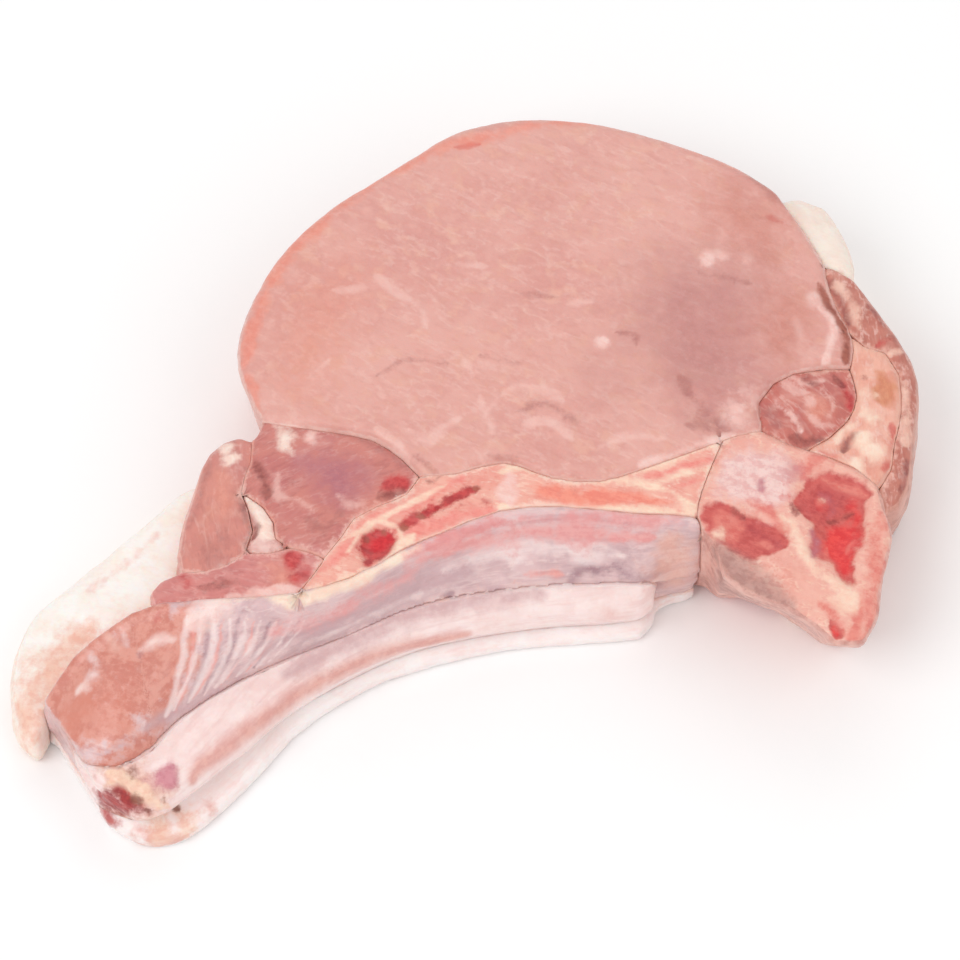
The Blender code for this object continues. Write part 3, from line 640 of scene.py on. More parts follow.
lowerMuscle = {
    "lean": ("d88c86", "ca7674"), "drift": "e2968e", "mottle": 6, "mottleShare": 0.7, "grainTone": "b66664",
    "grainTurn": 0.2, "marbleShare": 0.25, "skin": ("eeb0a6", "d6867e"),
    "marks": (
        spot("blood", 1.8, 0.72, (-31.1, -15.2), (-29.4, -17.2)),
        spot("blood", 2, 0.6, (-49.6, -17.6)),
        patch("blush", 2, 0.8, (-36, -15), (-33, -14), (-30, -18), (-34, -19)),
        stroke("dark", 0.8, 0.7, (-46.2, -19), (-42.7, -18.7), (-39.2, -19)),
        stroke("pale", 0.9, 0.9, (-41.7, -20.6), (-36.7, -20.8), (-30.4, -19.9)),
    ),
}
makePiece("lower_muscle", "lowerMuscle", lowerMuscle)

seamFat = {
    "lean": ("f0cac2", "dea8a0"), "drift": "f6d6cc", "mottle": 3, "mottleShare": 0.8, "grainShare": 0.2,
    "grainTone": "d69e96", "marbleShare": 0.1, "bundleShare": 0, "skin": ("f8dad0", "e8b6ac"),
    "seamTone": "ce928a", "seamShare": 0.75, "roughness": 0.46, "crease": 0.4,
    "marks": (
        stroke("fat", 1, 1, (-39.9, -0.5), (-37.1, -5.1), (-35.6, -7.3), (-35.7, -9.5), (-33.5, -10.4),
            lift=0.4),
        stroke("fat", 0.8, 1, (-35.5, -6.5), (-33.6, -4), lift=0.3),
        stroke("dark", 0.9, 0.8, (-39.6, -5.7), (-37.7, -8), (-37.6, -10), lift=-0.5),
    ),
}
makePiece("seam_fat", "seamFat", seamFat)

sawnBone = {
    "lean": ("f3b4a3", "eb988b"), "drift": "f8c8b4", "mottle": 7, "mottleShare": 0.8, "grainTone": "e68c7e",
    "grainShare": 0.4, "grainTurn": 0.25, "grainStretch": (0.22, 1, 0.5), "marbleShare": 0.5,
    "marbleTone": "fcdecc", "marbleSize": 3.6, "bundleShare": 0, "skin": ("f4c8ba", "e29a8e"),
    "seamShare": 0.85, "seamTone": "fad4c4", "roughness": 0.44, "crease": 0.05, "poreShare": 0.35,
    "poreTone": "de7464", "poreSize": 0.7,
    "layers": {
        "marrow": layer("f69680", "ee8472", 0.34, 0.5, 0.92),
        "flesh": layer("f4948a", "ec8078", 0.3, 0.5, 0.8),
        "gore": layer("cc4042", "ac2a30", 0.24, 0.6, 0.94),
        "bright": layer("e0323a", "cc222e", 0.3, 0.7, 0.9),
        "ridge": layer("fce0c8", "f9ceb8", 0.34, 0.8, 0.88),
        "pit": layer("9e4a40", "b46854", 0.3, 0.8, 0.85),
    },
    "marks": (
        patch("marrow", 1.6, 1, (8.4, -1.2), (12.8, -1.3), (19, -1.6), (25.8, -2.3), (29.3, -3.1),
            (32, -4.2), (25.7, -4.7), (16.8, -4.6), (10.2, -3.8), lift=-0.2),
        stroke("ridge", 0.9, 1, (3.5, 1.3), (6.6, 2.4), (10.2, 1.6), (13.8, 0.5), (19.1, 0.1), (25.8, -0.6),
            (31.6, -2.2), (35.1, -4.8), lift=0.2),
        stroke("ridge", 0.8, 1, (3.5, -5), (8.4, -6.2), (14.6, -6.1), (23.5, -5.7), (29.7, -5.9),
            (35, -6.3), lift=0.2),
        stroke("pale", 1.3, 0.9, (4.8, 1.3), (4.6, -2), (5, -4.7)),
        patch("gore", 1.2, 0.86, (-19.8, -9.5), (-17, -8.3), (-14.5, -9.7), (-14.5, -11.9), (-16.4, -14.7),
            (-18.6, -15.8), (-19.8, -13.2), lift=-0.7),
        spot("bright", 1.1, 0.85, (-17, -11.6), (-15.8, -10.4)),
        spot("pit", 0.6, 1, (-12.7, -8.8), (-0.6, -1.6), (-9.8, -6.4), lift=-0.3),
        stroke("blood", 1, 0.72, (-14.6, -9.8), (-11.4, -7.4), (-9, -5.8), (-6.8, -4.6), lift=-0.2),
        stroke("gore", 1.1, 0.9, (-9.4, -6), (-6.3, -4.3), (-3.7, -2.9), (-0.6, -1.9), lift=-0.3),
        spot("pit", 0.6, 0.85, (-6.3, -4.1), (-16, -9.3), (-19, -10.4)),
        spot("blood", 1.2, 0.62, (-20.6, -12), (-3, -4.6), (0.6, -4.2)),
        stroke("flesh", 1.5, 0.75, (-24.5, -15.5), (-21.5, -11.5), (-17.5, -7.6), (-12.5, -5.2), (-7, -2),
            (-3, 0.2)),
        stroke("flesh", 1.4, 0.85, (-12, -10.6), (-8.5, -8.6), (-3.2, -6.6), (2.5, -6.2)),
        stroke("flesh", 1.3, 0.6, (-36, -20.2), (-28.5, -18.2), (-24.5, -14.2), (-21.1, -10.4)),
        stroke("ridge", 0.9, 0.95, (-30, -22.6), (-25.2, -20.4), (-19.6, -17.8), (-15, -15.2),
            (-12.6, -11.9), (-11, -10.4), lift=0.15),
        stroke("ridge", 0.6, 0.9, (-22.5, -11.2), (-15.1, -6.4), (-10.3, -3.4), (-5.6, -0.9)),
        stroke("ridge", 0.5, 0.8, (-21.8, -13.2), (-18.6, -8), (-14.2, -8.6), (-12.8, -11), lift=0.1),
        stroke("ridge", 0.8, 0.9, (25.8, 1.5), (32.6, 4), (40.3, 6.9), lift=0.2),
        stroke("ridge", 0.8, 0.85, (29, -0.9), (34.5, 1.2), (40, 2.6), lift=0.15),
        stroke("flesh", 0.9, 0.85, (27.5, 0.5), (34.3, 2.6), (40.2, 4.9), lift=-0.2),
        stroke("flesh", 0.8, 0.75, (32, -1.6), (36.8, 0.2), (40.8, 0.9), lift=-0.1),
        spot("ridge", 2, 0.9, (34.2, -5.6), (36, -6.3)),
        stroke("dark", 0.5, 0.75, (-10.4, 1.6), (-8.4, -0.4), (-5.9, 0.9)),
        stroke("streak", 0.8, 0.9, (-9.4, 1), (-6, 1.8), (-2.6, 2.6)),
    ),
}
makePiece("cut_rib", "sawnBone", sawnBone)

backbone = {
    "lean": ("f2b8a8", "ea9e90"), "drift": "fad0c0", "mottle": 7, "mottleShare": 0.7, "grainTone": "e29282",
    "grainStretch": (0.5, 1, 0.5), "marbleShare": 0.4, "marbleTone": "fcdcc4", "marbleSize": 4,
    "bundleShare": 0, "skin": ("e8b8ac", "c4867c"), "skinShare": 0.9, "seamTone": "f8cebe",
    "roughness": 0.44, "crease": 0.12, "poreShare": 0.3, "poreTone": "dc7868", "poreSize": 0.7,
    "relief": ((9, 0.3), (2.4, 0.16)),
    "layers": {
        "gristle": layer("f4d2cc", "e8b6b2", 0.42, 0.6, 0.93),
        "marrow": layer("d4605a", "c44a48", 0.24, 0.4, 0.94),
        "deepRed": layer("c65454", "b44448", 0.46, 0.4, 0.7),
        "bright": layer("f04c48", "e2383a", 0.36, 0.6, 0.9),
        "rosy": layer("e88a7c", "e0746a", 0.33, 0.6, 0.85),
        "hole": layer("be6c78", "ca828a", 0.36, 0.3, 0.85),
        "ridge": layer("fcdec8", "f9ceb8", 0.36, 0.9, 0.85),
        "pit": layer("a65048", "92403e", 0.33, 0.7, 0.8),
        "shadow": layer("ba8e86", "a67872", 0.5, 0.2, 0.85),
    },
    "marks": (
        patch("rosy", 2.4, 0.7, (50.6, -3), (53.6, 3.6), (60, 3.4), (64.6, 0.8), (62, 2.6), (54, 2.4),
            (51.6, -5)),
        patch("gristle", 2, 1, (40.6, 3.2), (45.9, 5.4), (50.4, 4.8), (52.4, 1), (51.6, -3.6), (49.4, -5.6),
            (45.6, -5.6), (41.2, -4.4), (38.8, -1.2), lift=0.3),
        stroke("hole", 0.8, 1, (46.7, -0.3), (46.8, -2.3), lift=-0.4),
        spot("hole", 2, 0.66, (52.6, 1.4)),
        patch("marrow", 1, 1, (37.3, -5.4), (39.3, -4.4), (41.8, -4.8), (44.3, -6.3), (46.8, -7.5),
            (49.3, -9.1), (51.2, -11.6), (50.2, -13.3), (47.8, -14.3), (45.3, -14.9), (42.8, -14.1),
            (40.3, -12.4), (38.1, -10.3), (37.1, -7.6), lift=-0.6),
        patch("rosy", 1.2, 0.9, (38, -6.2), (41, -6), (43.6, -8.4), (42.6, -11.8), (39.6, -10.8)),
        stroke("deepRed", 1.2, 0.8, (43.4, -8), (46.6, -10.2), (49.4, -12)),
        patch("deepRed", 1.6, 0.8, (55.6, -0.8), (58.6, -0.2), (61.6, -2.6), (60.6, -6), (57, -7.4),
            (54.6, -5)),
        stroke("rosy", 0.8, 0.8, (45.2, -11.6), (48, -12.4)),
        stroke("pit", 0.7, 0.8, (41.6, -5.2), (44, -6.7)),
        spot("ridge", 0.9, 0.9, (39.4, -10.2), lift=0.3),
        patch("marrow", 1.1, 1, (53.2, -1.6), (55.4, 1.3), (57.4, 1.6), (61.8, 0.6), (64.9, -1.8),
            (64.3, -4.2), (63.8, -8.5), (62.9, -12.1), (61.8, -15.4), (61.3, -19.3), (59.9, -18.8),
            (57.9, -15.8), (55.2, -14.2), (54.6, -12.3), (55, -8.6), (53.4, -5.8), (52.1, -4.2), lift=-0.7),
        patch("bright", 1.4, 1, (58.2, -8.8), (62.4, -6.1), (63.3, -8.5), (62.1, -13.5), (60.7, -16.5),
            (59.7, -17), (57.9, -14.6), (56.7, -12.6)),
        spot("bright", 1.4, 0.6, (57, -4.4), (61.8, -4.6)),
        stroke("pit", 0.6, 0.8, (57.8, -7.4), (60, -6.6), (61.8, -5.6), lift=-0.3),
        stroke("hole", 1, 0.75, (54.8, -9.5), (55.6, -12.2), (54.8, -14.6)),
        stroke("hole", 0.9, 0.55, (56.6, -2), (59, -4.6), (58, -6.4)),
        stroke("rosy", 0.7, 0.85, (57, 0.6), (60.1, -0.9), (63, -1.9), (64.4, -3.2), lift=0.2),
        spot("rosy", 1.1, 0.85, (57, -3.6)),
        spot("ridge", 0.6, 0.8, (57.2, -3.4)),
        stroke("rosy", 0.6, 0.85, (61.9, -10.6), (60.9, -12.2), (60.6, -13.6), lift=0.3),
        stroke("rosy", 0.5, 0.75, (57.4, -12.4), (57.2, -14.4), (58.6, -16.2), lift=0.2),
        stroke("rosy", 1.5, 0.8, (66.2, -6, 23.4), (65.6, -13, 23.4), (64.8, -20, 23.2), (64, -28, 22.8)),
        stroke("pit", 0.7, 0.8, (51.8, -4.6), (52.6, -6.8), lift=-0.2),
        stroke("ridge", 1, 0.85, (49.6, -6.6), (52, -9.3), (53, -13.1), (54.6, -16.8), (57.9, -19.4),
            (61.3, -21), lift=0.3),
        spot("ridge", 1.8, 0.9, (60.2, -22)),
        stroke("rosy", 1.1, 0.8, (44.5, -4.2), (48.6, -6.2), (51, -8)),
        stroke("rosy", 1.4, 0.65, (63.4, -20), (63.8, -26), (62.4, -30)),
        stroke("marrow", 0.8, 1, (57.7, -25.6), (58.7, -27.2), (58.6, -28.6), lift=-0.6),
        stroke("bright", 0.5, 0.8, (58, -26.4), (58.6, -28)),
        stroke("rosy", 1.2, 0.85, (53.6, 0.4), (55.4, 3.4), (57.4, 4.4)),
        stroke("rosy", 1, 0.8, (46.8, -5.6), (49.4, -7.4), (51.2, -10.2)),
        stroke("shadow", 2.3, 1, (37.8, -12.2), (40.8, -15.6), (43.8, -18.8), (47.4, -22), (51, -24.8),
            wander=0.3),
        stroke("rosy", 0.8, 0.8, (55.6, -22.6), (58, -24.6), (59.6, -27.6)),
        stroke("rosy", 0.9, 0.85, (62.6, -22.6), (61.8, -26), (60.2, -29.6)),
        stroke("shadow", 3.2, 0.9, (40, -15, 14), (44, -19.6, 14), (49, -24, 14), (54, -28, 14)),
        stroke("shadow", 1.4, 0.85, (38.8, -12.6, 22.4), (39.7, -14.6, 20.4), (40.3, -15.4, 15.9),
            (40.5, -15.5, 8), lift=-0.2),
        stroke("shadow", 1.3, 0.6, (65.9, -8, 21), (65.2, -14, 21), (63.6, -20.5, 20.2)),
    ),
}
makePiece("vertebra", "backbone", backbone)

backMuscle = {
    "lean": ("cd776c", "bb645e"), "drift": "da8e80", "mottle": 5, "mottleShare": 0.8, "grainTone": "b06258",
    "grainTurn": 0.9, "marbleShare": 0.35, "bundleShare": 0.2, "bundleSize": 2.2,
    "skin": ("e6a89c", "c8786e"), "seamTone": "f4c8b8",
    "marks": (
        stroke("pale", 0.6, 0.8, (49.4, 18), (50.2, 15), (52.6, 12.6), (54, 9.6), lift=0.2),
        stroke("streak", 0.6, 0.9, (52.8, 20.4), (55, 19.2), (58, 19.8)),
        stroke("streak", 0.6, 0.85, (55.4, 12.6), (57.4, 11), (59.8, 11.2)),
        stroke("streak", 0.5, 0.85, (58.2, 17.6), (59.4, 15), (59, 12.8)),
        stroke("streak", 0.7, 0.9, (51.6, 19.6), (53.6, 17.6), (55.4, 17.2)),
        stroke("dark", 0.9, 0.9, (52.2, 8.9), (54.8, 8), (57.4, 8.6), lift=-0.3),
        stroke("blood", 1.2, 0.72, (61.2, 19.6), (62.2, 17), (62.4, 14.2), lift=-0.2),
        stroke("dark", 0.7, 0.85, (60.2, 20.8), (61.6, 18.6), lift=-0.2),
        stroke("dark", 0.7, 0.8, (54.6, 20), (57.4, 18.9)),
        patch("furrow", 1.6, 0.8, (46.8, 14.6), (49.6, 14), (50.6, 10.6), (48.4, 10)),
        patch("blush", 1.8, 0.85, (54.6, 16.4), (59.4, 16.8), (59.8, 12), (56, 12)),
        spot("streak", 0.9, 0.9, (55.6, 15.4), (58.8, 12.6)),
    ),
}
makePiece("back_muscle", "backMuscle", backMuscle)

spineFat = {
    "lean": ("f2b6a2", "e29482"), "drift": "facebc", "mottle": 4.5, "mottleShare": 0.8,
    "grainTone": "d88e7c", "grainShare": 0.3, "grainTurn": 1.5, "marbleShare": 0.5, "bundleShare": 0,
    "skin": ("f4c8b8", "dc9a8c"), "seamTone": "f0baa6", "roughness": 0.46,
    "layers": {
        "gristle": layer("d48464", "de9472", 0.34, 0.35, 0.95),
        "rosy": layer("e07a6e", "d2645c", 0.33, 0.6, 0.85),
        "ridge": layer("fde2ce", "fad4be", 0.3, 0.45, 0.92),
    },
    "marks": (
        patch("gristle", 1.2, 1, (66, 18.2), (67.2, 21.2), (69.6, 20.4), (70.4, 16.6), (68, 14.6),
            lift=-0.2),
        stroke("dark", 0.8, 1, (60.9, 5.9), (61.7, 8.2), (63.4, 9.6), lift=-0.6),
        stroke("ridge", 0.9, 0.85, (59.8, 7.4), (61, 10), (63.8, 11.6)),
        stroke("rosy", 0.8, 0.85, (69.3, 11.4), (69.9, 8), (69.3, 5), lift=-0.2),
        spot("dark", 0.7, 0.8, (65.1, 20.3)),
        stroke("rosy", 0.9, 0.8, (67.1, 2.5), (69, 4.6), (69.6, 8.8)),
        stroke("rosy", 0.9, 0.75, (57, 5.6), (59.4, 4), (61.6, 3.2)),
        spot("ridge", 2.1, 0.85, (65.4, 12.2), (66, 6.4), (64.2, 8.6), lift=0.2),
        spot("ridge", 1.6, 0.8, (60.4, 2.4), (63, 3.4), (64.6, 17.4)),
        stroke("blood", 0.8, 0.7, (60.8, 20.6), (62.6, 17.6), (63.4, 14.6)),
    ),
}
makePiece("spine_fat", "spineFat", spineFat)

rimMuscle = {
    "lean": ("ca8071", "ba6c5e"), "drift": "e2a291", "mottle": 5, "mottleShare": 0.8, "grainTone": "a46458",
    "grainTurn": 1.5, "marbleShare": 0.5, "skin": ("dea696", "b87a6c"), "skinShare": 0.8,
    "seamTone": "f0bcac",
    "layers": {
        "ridge": layer("f6ccba", "eeb8a6", 0.34, 0.7, 0.85),
    },
    "marks": (
        stroke("dark", 1, 0.7, (66.4, 35), (69, 31.4), (70.6, 28.2)),
        stroke("blood", 0.9, 0.6, (67.7, 27.2), (70.2, 28.6)),
        stroke("ridge", 0.9, 1, (67.2, 24.9), (69.4, 25.6), (71.6, 26.2), lift=0.2),
        stroke("ridge", 1.1, 0.85, (61.4, 39.4), (63.4, 35.2), (64.7, 30.4), lift=0.2),
        stroke("dark", 0.9, 0.85, (59.6, 40.6), (61.8, 36.4), (63.2, 31), lift=-0.2),
        stroke("dark", 1, 0.75, (71.7, 5), (71.4, 1.4), (70.4, -2.6)),
        stroke("ridge", 0.8, 0.8, (72, 20), (72.2, 13), (71.4, 8)),
    ),
}
makePiece("rim_muscle", "rimMuscle", rimMuscle)

backFat = {
    "lean": ("fdeee2", "f8dacc"), "drift": "fef4ea", "mottle": 6, "grainShare": 0.15, "bundleShare": 0,
    "grainTone": "f0caba", "marbleShare": 0.1, "skin": ("fdecde", "f4d2c2"), "seamTone": "f6d2c4",
    "roughness": 0.5, "scatter": 0.3,
}
makePiece("back_fat", "backFat", backFat)

flankFat = {
    "lean": ("fff9f3", "feece2"), "drift": "fff4e8", "mottle": 10, "grainShare": 0.12, "bundleShare": 0.12,
    "bundleTone": "faded0", "grainTone": "f6d6c6", "marbleShare": 0.12, "skin": ("feece0", "f8d4c4"),
    "seamTone": "fadacc", "roughness": 0.5, "scatter": 0.3, "relief": ((12, 0.4), (3, 0.16)),
    "layers": {
        "peach": layer("f6c8b4", "f0baa6", 0.48, 0.6, 0.95),
    },
    "marks": (
        stroke("peach", 3.2, 0.9, (-74.6, -43), (-75.4, -35), (-71.4, -27), (-65, -21)),
        stroke("peach", 2.4, 0.8, (-76, -42, 4), (-76.4, -38, 8), (-76, -34, 12)),
        stroke("streak", 1.2, 0.7, (-70.6, -30), (-66.7, -24), (-60.4, -20.6), (-55.1, -18.4)),
        stroke("streak", 1, 0.6, (-66, -14), (-60, -10), (-54, -4)),
    ),
}
makePiece("flank_fat", "flankFat", flankFat)


fan = {
    "strands": 17, "spread": 0.9, "bow": (0.9, 0.4, 0),
    "topStart": (-48, -24.6, 21.6), "topEnd": (-29, -23.8, 20),
    "footStart": (-52, -38.6, 14.2), "footEnd": (-35, -30.2, 14.6),
}


def fanStrands():
    # thin sinews that fan down the wall beside the flank end
    kinds = ("sheen", "sinew", "sheen", "shadow")
    strands = []
    for number in range(fan["strands"]):
        share = number / (fan["strands"] - 1)
        top = Vector(fan["topStart"]).lerp(Vector(fan["topEnd"]), share)
        foot = Vector(fan["footStart"]).lerp(Vector(fan["footEnd"]), share)
        foot.x += fan["spread"] * math.sin(number * 2.4)
        middle = top.lerp(foot, 0.5) + Vector(fan["bow"])
        width = 0.44 + 0.1 * math.cos(number * 1.7)
        strength = 0.72 + 0.08 * math.cos(number * 3.1)
        strands.append(stroke(kinds[number % 4], width, strength, top, middle, foot, clings=True))
    return strands


ribMeat = {
    "lean": ("e4c2c2", "cca8ac"), "drift": "f0ceca", "mottle": 7, "mottleShare": 0.7, "followsWall": True,
    "grainTone": "b89096", "grainShare": 0.5, "grainStretch": (0.16, 1, 0.6), "grainSize": 1.5,
    "bundleShare": 0.35, "bundleTone": "f8e2de", "bundleSize": 1.8, "marbleShare": 0.4,
    "marbleTone": "fae2dc", "marbleSize": 3, "skin": ("e6c6c4", "caa4a6"), "skinShare": 0.35,
    "seamTone": "f2d2cc", "seamShare": 0.5, "lineShare": 0.6, "wet": 0.5, "roughness": 0.34,
    "relief": ((14, 0.25), (3, 0.06)), "flush": 1.6, "crease": 0.05,
    "layers": {
        "hump": layer("e29c8c", "d28272", 0.36, 0.9, 0.95),
        "humpDeep": layer("d67c66", "e08c76", 0.45, 0.5, 0.65),
        "sinew": layer("f4aca0", "ee9e96", 0.3, 0.5, 0.85),
        "shadow": layer("b08a92", "a07880", 0.35, 0.6, 0.8),
        "red": layer("dc6a68", "ce5a5c", 0.33, 0.5, 0.85),
        "violet": layer("c49ea2", "d0acb0", 0.42, 0.5, 0.75),
        "ridge": layer("fde4d0", "fad8c4", 0.3, 0.45, 0.95),
        "sheen": layer("fae6e3", "f4dad7", 0.36, 0.7, 0.75),
        "peach": layer("eebeb0", "e6aea0", 0.45, 0.6, 0.9),
        "white": layer("fae0d9", "f4cec7", 0.42, 0.7, 0.85),
        "pink": layer("ecaaa7", "e69c9a", 0.45, 0.6, 0.9),
    },
    "marks": (
        patch("hump", 2.2, 1, (-50, -20), (-46.5, -27), (-48, -33), (-51.5, -38.5), (-56.5, -42.5),
            (-62, -45.5), (-68, -44), (-76, -40), (-72, -30), (-66, -23), (-58, -18)),
        stroke("hump", 2.6, 0.9, (-72, -43, 9), (-68, -45.6, 10), (-62, -47, 11.6), (-56, -45, 13.4),
            (-51.6, -41, 14.6)),
        stroke("sheen", 0.7, 0.6, (-66, -27, 18.4), (-62, -33, 17.8), (-60, -39, 16)),
        stroke("sheen", 0.7, 0.62, (-59, -26, 20.4), (-56, -33, 18.8), (-54.6, -39, 15.6)),
        stroke("peach", 0.8, 0.7, (-63, -24, 19.8), (-59, -31, 19.2), (-57, -37, 16.8)),
        spot("humpDeep", 3.6, 0.7, (-66.5, -39.5, 14.4), (-64.6, -37.4, 16), (-60, -38, 16)),
        spot("sheen", 1.3, 0.85, (-63.2, -33.5, 18.1), lift=0.2),
        stroke("white", 0.7, 0.8, (-66.4, -36, 16), (-64.8, -35, 17), (-63.6, -36.4, 16.8), lift=0.1),
        spot("shadow", 0.8, 0.7, (-55.7, -31, 20.5)),
        stroke("white", 1.1, 0.9, (-55.6, -30, 20.6), (-53, -28.6, 20.9), (-50.4, -28.4, 20.9), lift=0.2),
        spot("red", 1.3, 0.7, (-52.8, -25, 21.7), (-50.6, -23.6, 22.2)),
        stroke("white", 1.6, 0.9, (-47.4, -26, 21.8), (-44.6, -24.2, 22.5), (-41, -23.6, 22.8), lift=0.2),
        *fanStrands(),
        # streaks along the wall
        stroke("peach", 3.6, 0.95, (31.6, -9, 20.5), (32.4, -11, 14), (33.4, -12.6, 6)),
        stroke("sheen", 2, 0.8, (-6, -14, 18.6), (2, -11.6, 18.8), (12, -10.6, 18.6), (22, -10.8, 18)),
        stroke("pink", 2, 0.9, (-12, -15.4, 22), (-4, -11.8, 22.2), (6, -9, 22), (16, -8.8, 21.6),
            (28, -9, 21.2)),
        stroke("pink", 2, 0.7, (-34, -26.4, 19.4), (-26, -23.6, 19.6), (-18, -19.4, 19.8),
            (-12, -16.4, 20)),
        stroke("shadow", 1.8, 0.62, (-31, -27.4, 15), (-24, -24.4, 15.2), (-16, -20.6, 15.4),
            (-8, -17, 15.4)),
        stroke("violet", 1.7, 0.9, (-36, -28.4, 16), (-32.7, -26.7, 17.4), (-24, -23.2, 17.4),
            (-17.4, -19.7, 17.5), (-10.3, -16.1, 17.4)),
        stroke("violet", 3.4, 1, (-22, -22.4, 18), (-12, -17.2, 18), (-2, -13.6, 18)),
        stroke("shadow", 0.9, 0.7, (-33, -26.6, 17.6), (-27, -24.4, 17.8), (-21, -21.4, 17.8)),
        stroke("violet", 1.2, 0.7, (-55, -42, 15.6), (-50, -38.6, 14.2), (-45.9, -35.5, 13.3),
            (-39.4, -31.4, 13.1)),
        stroke("sheen", 0.8, 0.7, (-34, -28.6, 14.6), (-26, -25, 15), (-18, -21, 15.2), (-10, -17.4, 15.2),
            (-2, -15.4, 15)),
        stroke("sheen", 0.6, 0.68, (-28, -24.6, 18.8), (-20, -20.4, 19.4), (-12, -16.6, 19.6)),
        stroke("shadow", 0.8, 0.9, (-6.8, -16.8, 12.8), (-4.6, -15.9, 14), lift=-0.2),
        stroke("shadow", 1.1, 0.7, (15.1, -13.7, 13.6), (17.3, -12, 16), (20, -12.5, 15.2),
            (22.7, -11.7, 16.5), (25, -12.9, 14.1), (30, -11.4, 13.2), (32.2, -10.3, 14.9)),
        stroke("violet", 1.3, 0.8, (1.3, -15.2, 13.5), (8.4, -15.2, 12.7), (14.7, -14.3, 12.8),
            (24, -13.4, 12.6)),
        stroke("sinew", 1, 0.8, (7.5, -13, 15.1), (11.1, -12.9, 14.9), (13.8, -12.8, 14.8)),
        stroke("sheen", 1, 0.85, (3.9, -10.3, 19.4), (8.4, -9.4, 19.8), (12.8, -9.9, 18.8),
            (19.1, -9.8, 19.5), (23.6, -10.9, 17.9)),
        stroke("sheen", 0.6, 0.75, (-6, -13.8, 18), (0, -12.4, 18), (6, -12, 17.4), (14, -11.6, 17.4)),
        stroke("sinew", 1.1, 0.9, (-8.5, -14.5, 20.7), (-2.3, -11.2, 22.2), (3.9, -9.4, 22),
            (13.7, -8.9, 21.8), (21.3, -9.3, 21.4), (28.9, -9.6, 21.4)),
        stroke("pink", 1.5, 0.9, (-12, -14.4, 23.4), (-4, -10.8, 23.6), (6, -8, 23.8), (18, -7.8, 23.8),
            (33, -7.6, 23.6)),
        stroke("red", 1, 1, (-8.5, -13, 23.6), (-5, -11.4, 23.7), (-1.4, -9.9, 23.8), (3, -8.5, 23.8),
            (7.9, -7.9, 23.8), (13.7, -7.8, 23.8)),
        stroke("shadow", 0.5, 0.95, (13.7, -7.8, 23.8), (16.4, -8, 23.8), (19.9, -7.6, 23.8),
            (26.5, -8.2, 23.7)),
        stroke("ridge", 1.1, 0.9, (-43, -22.4, 23.6), (-36, -22, 23.9), (-30, -22.8, 23.9),
            (-25.2, -21.4, 23.9), (-19.6, -18.4, 23.9), (-15, -15.9, 23.9), (-10, -13, 23.9), lift=0.15),
    ),
}
makePiece("rib_meat", "ribMeat", ribMeat)

ribBone = {
    "lean": ("fde8e4", "f4d2ce"), "drift": "ffeeea", "mottle": 9, "mottleShare": 0.7, "followsWall": True,
    "grainTone": "e8beba", "grainShare": 0.4, "grainStretch": (0.14, 1, 0.8), "grainSize": 1.3,
    "marbleShare": 0.15, "bundleShare": 0.15, "skin": ("fce4e0", "f0ccc8"), "skinShare": 0.3,
    "seamShare": 0.7, "seamTone": "ecd6d5", "lineShare": 0.6, "wet": 0.5, "roughness": 0.36,
    "relief": ((14, 0.25), (3, 0.05)), "flush": 2.2,
    "layers": {
        "salmon": layer("e6a89b", "dc988e", 0.5, 0.12, 0.84),
        "violet": layer("d8b2b2", "cea4a6", 0.5, 0.3, 0.75),
        "peach": layer("eec2b0", "e2ac9c", 0.42, 0.8, 0.9),
        "marrow": layer("b43c3a", "96282e", 0.3, 0.5, 0.97),
        "mauve": layer("d68a96", "c87888", 0.35, 0.4, 0.9),
        "ridge": layer("fbdac2", "f6c8b0", 0.32, 0.7, 0.9),
        "pit": layer("9e6450", "8c4c40", 0.32, 0.7, 0.85),
    },
    "marks": (
        stroke("salmon", 1.5, 1, (-48, -48, 9.6), (-45.2, -45.4, 10.4), (-37.1, -38.5, 10.4),
            (-28.5, -32.2, 10.6), (-17.5, -25.9, 10.2), (-10.4, -23.2, 9.2), (-2, -21, 8.8), wander=0.15,
            clings=True),
        stroke("violet", 1.7, 0.85, (-32, -31, 13.2), (-22, -25, 13.2), (-12, -20, 13), (0, -16.8, 12.8),
            (10, -15.6, 12.6), wander=0.4, clings=True),
        patch("peach", 2, 0.75, (-62, -46), (-56, -46), (-51, -48.6), (-49.6, -53.6), (-54, -58),
            (-62, -56)),
        stroke("peach", 2.4, 0.8, (-62.4, -50.4, 9), (-59.4, -53.6, 8), (-55.4, -55.6, 8),
            (-51, -54.6, 8.6)),
        spot("marrow", 3.3, 1, (-58.1, -52.9, 11.1), (-60, -52.6, 9.4), (-61.2, -51.6, 8), lift=-0.7),
        spot("marrow", 2.2, 1, (-59.6, -53, 9.4), (-61.6, -51.2, 9)),
        spot("pit", 0.9, 0.8, (-55.9, -53.1, 11.4), (-56.4, -48.5, 12.9), lift=-0.6),
        spot("mauve", 2.2, 0.95, (-52, -49.2, 12.4), lift=0.5),
        stroke("ridge", 1, 1, (-60.6, -49, 13), (-57.2, -50.3, 12.6), (-55.4, -51.6, 12.3),
            (-52.1, -53.3, 10), lift=0.6),
        stroke("ridge", 0.7, 0.85, (-62.4, -50, 10.6), (-60.6, -50.4, 12.2), (-58, -49.6, 13), lift=0.4),
        stroke("ridge", 0.8, 0.85, (-54.6, -50.6, 12.8), (-53.4, -52.6, 11), (-50.6, -53, 9), lift=0.2),
        spot("pit", 0.6, 0.85, (-51.6, -52.4, 10.9), (-54.2, -53.8, 9.8), lift=-0.3),
        spot("salmon", 1.6, 0.5, (21.4, -17.5, 10.3)),
    ),
}
makePiece("rib_bone", "ribBone", ribBone)

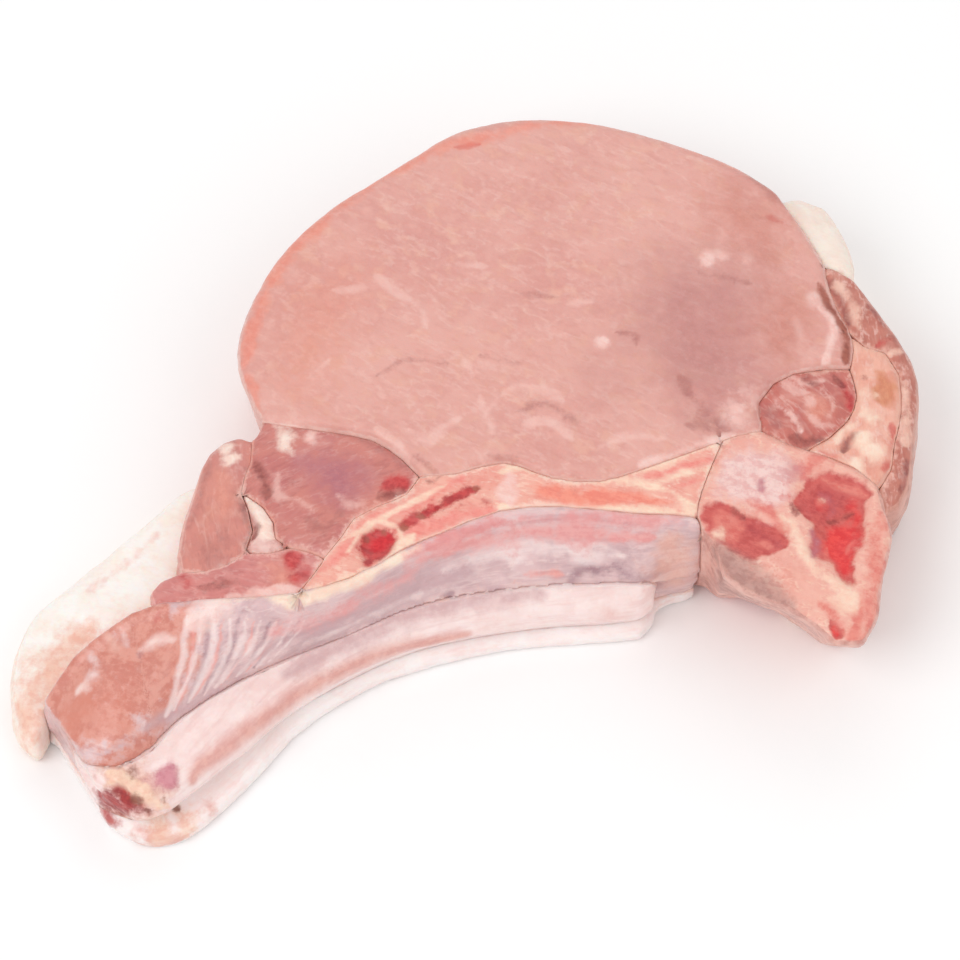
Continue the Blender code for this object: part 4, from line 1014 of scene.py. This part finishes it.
ribFringe = {
    "lean": ("fff7f5", "fde8e5"), "drift": "fffaf8", "mottle": 9, "mottleShare": 0.7, "followsWall": True,
    "grainTone": "f4ccc6", "grainShare": 0.3, "grainStretch": (0.18, 1, 1), "skin": ("fff6f4", "fce6e2"),
    "skinShare": 0.5, "seamShare": 0.3, "seamTone": "f2cac1", "bundleShare": 0,
    "relief": ((9, 0.25), (2.6, 0.08)), "flush": 1.2,
    "layers": {
        "salmon": layer("e6ac9e", "dc9c90", 0.4, 0.5, 0.85),
        "marrow": layer("c4544e", "b03c3c", 0.33, 0.5, 0.9),
        "ridge": layer("f8d6c2", "f2c2ae", 0.36, 0.7, 0.85),
        "pit": layer("966050", "824a40", 0.28, 0.5, 0.9),
    },
    "marks": (
        stroke("marrow", 1.2, 0.8, (-63, -50.6, 3), (-61.4, -52, 3), (-58.8, -53.6, 3)),
        stroke("salmon", 1.3, 0.9, (-56.9, -54.6, 2.6), (-52.4, -56, 2.6), (-49.1, -55.6, 2)),
        spot("pit", 0.6, 0.9, (-49.8, -50.7, 3.3), lift=-0.3),
        spot("ridge", 2.4, 0.8, (-48.6, -53, 3.3), (-52.6, -54.4, 3)),
        spot("salmon", 1.8, 0.85, (-44.2, -50.6, 3)),
        stroke("salmon", 1.4, 0.9, (-62, -54, 1.6), (-57, -57, 1.4), (-51, -57.4, 1.4)),
    ),
}
makePiece("rib_fringe", "ribFringe", ribFringe)

print("pieces: dressed")

studio = {
    "floor": "ffffff", "floorReach": 3.0, "floorLevel": -0.0001, "sky": 0.66,
    "lens": 150.0, "sensor": 36.0, "distance": 0.66667, "elevation": 60.0,
    "aim": (0.001763, -0.008966, 0.024),
    "lamps": (
        # place, size, watts
        ((-0.45, -0.35, 0.75), 0.6, 2.6),
        ((0.5, -0.25, 0.6), 0.7, 0.98),
        ((0.05, 0.6, 0.6), 0.6, 0.74),
    ),
}


def pointAt(thing, target):
    thing.rotation_euler = (Vector(target) - thing.location).to_track_quat("-Z", "Y").to_euler()


def makeStudio():
    mesh = bpy.data.meshes.new("floor")
    reach = studio["floorReach"]
    corners = ((-reach, -reach), (reach, -reach), (reach, reach), (-reach, reach))
    mesh.from_pydata([(x, y, studio["floorLevel"]) for x, y in corners], [], [(0, 1, 2, 3)])
    floor = bpy.data.objects.new("floor", mesh)
    scene.collection.objects.link(floor)
    recipe = Recipe("floor paint")
    shader = recipe.add("ShaderNodeBsdfPrincipled", {}, {
        "Base Color": tone(studio["floor"]), "Roughness": 0.8, "Specular IOR Level": 0.1})
    recipe.add("ShaderNodeOutputMaterial", {}, {"Surface": shader})
    mesh.materials.append(recipe.material)

    world = bpy.data.worlds.new("studio")
    world.use_nodes = True
    scene.world = world
    sky = world.node_tree.nodes["Background"].inputs
    sky["Color"].default_value = (1, 1, 1, 1)
    sky["Strength"].default_value = studio["sky"]
    for number, (place, size, watts) in enumerate(studio["lamps"]):
        lamp = bpy.data.lights.new(f"lamp{number}", "AREA")
        lamp.shape = "DISK"
        lamp.size = size
        lamp.energy = watts
        holder = bpy.data.objects.new(f"lamp{number}", lamp)
        scene.collection.objects.link(holder)
        holder.location = place
        pointAt(holder, (0, 0, 0))

    camera = bpy.data.cameras.new("camera")
    camera.lens = studio["lens"]
    camera.sensor_width = studio["sensor"]
    camera.clip_start = 0.01
    holder = bpy.data.objects.new("camera", camera)
    scene.collection.objects.link(holder)
    tilt = math.radians(studio["elevation"])
    aim = Vector(studio["aim"])
    holder.location = aim + Vector((0, -math.cos(tilt), math.sin(tilt))) * studio["distance"]
    pointAt(holder, aim)
    scene.camera = holder
    scene.view_settings.view_transform = "Standard"
    scene.view_settings.look = "None"


makeStudio()
print("studio: floor, lamps and camera made")

bpy.context.view_layer.update()
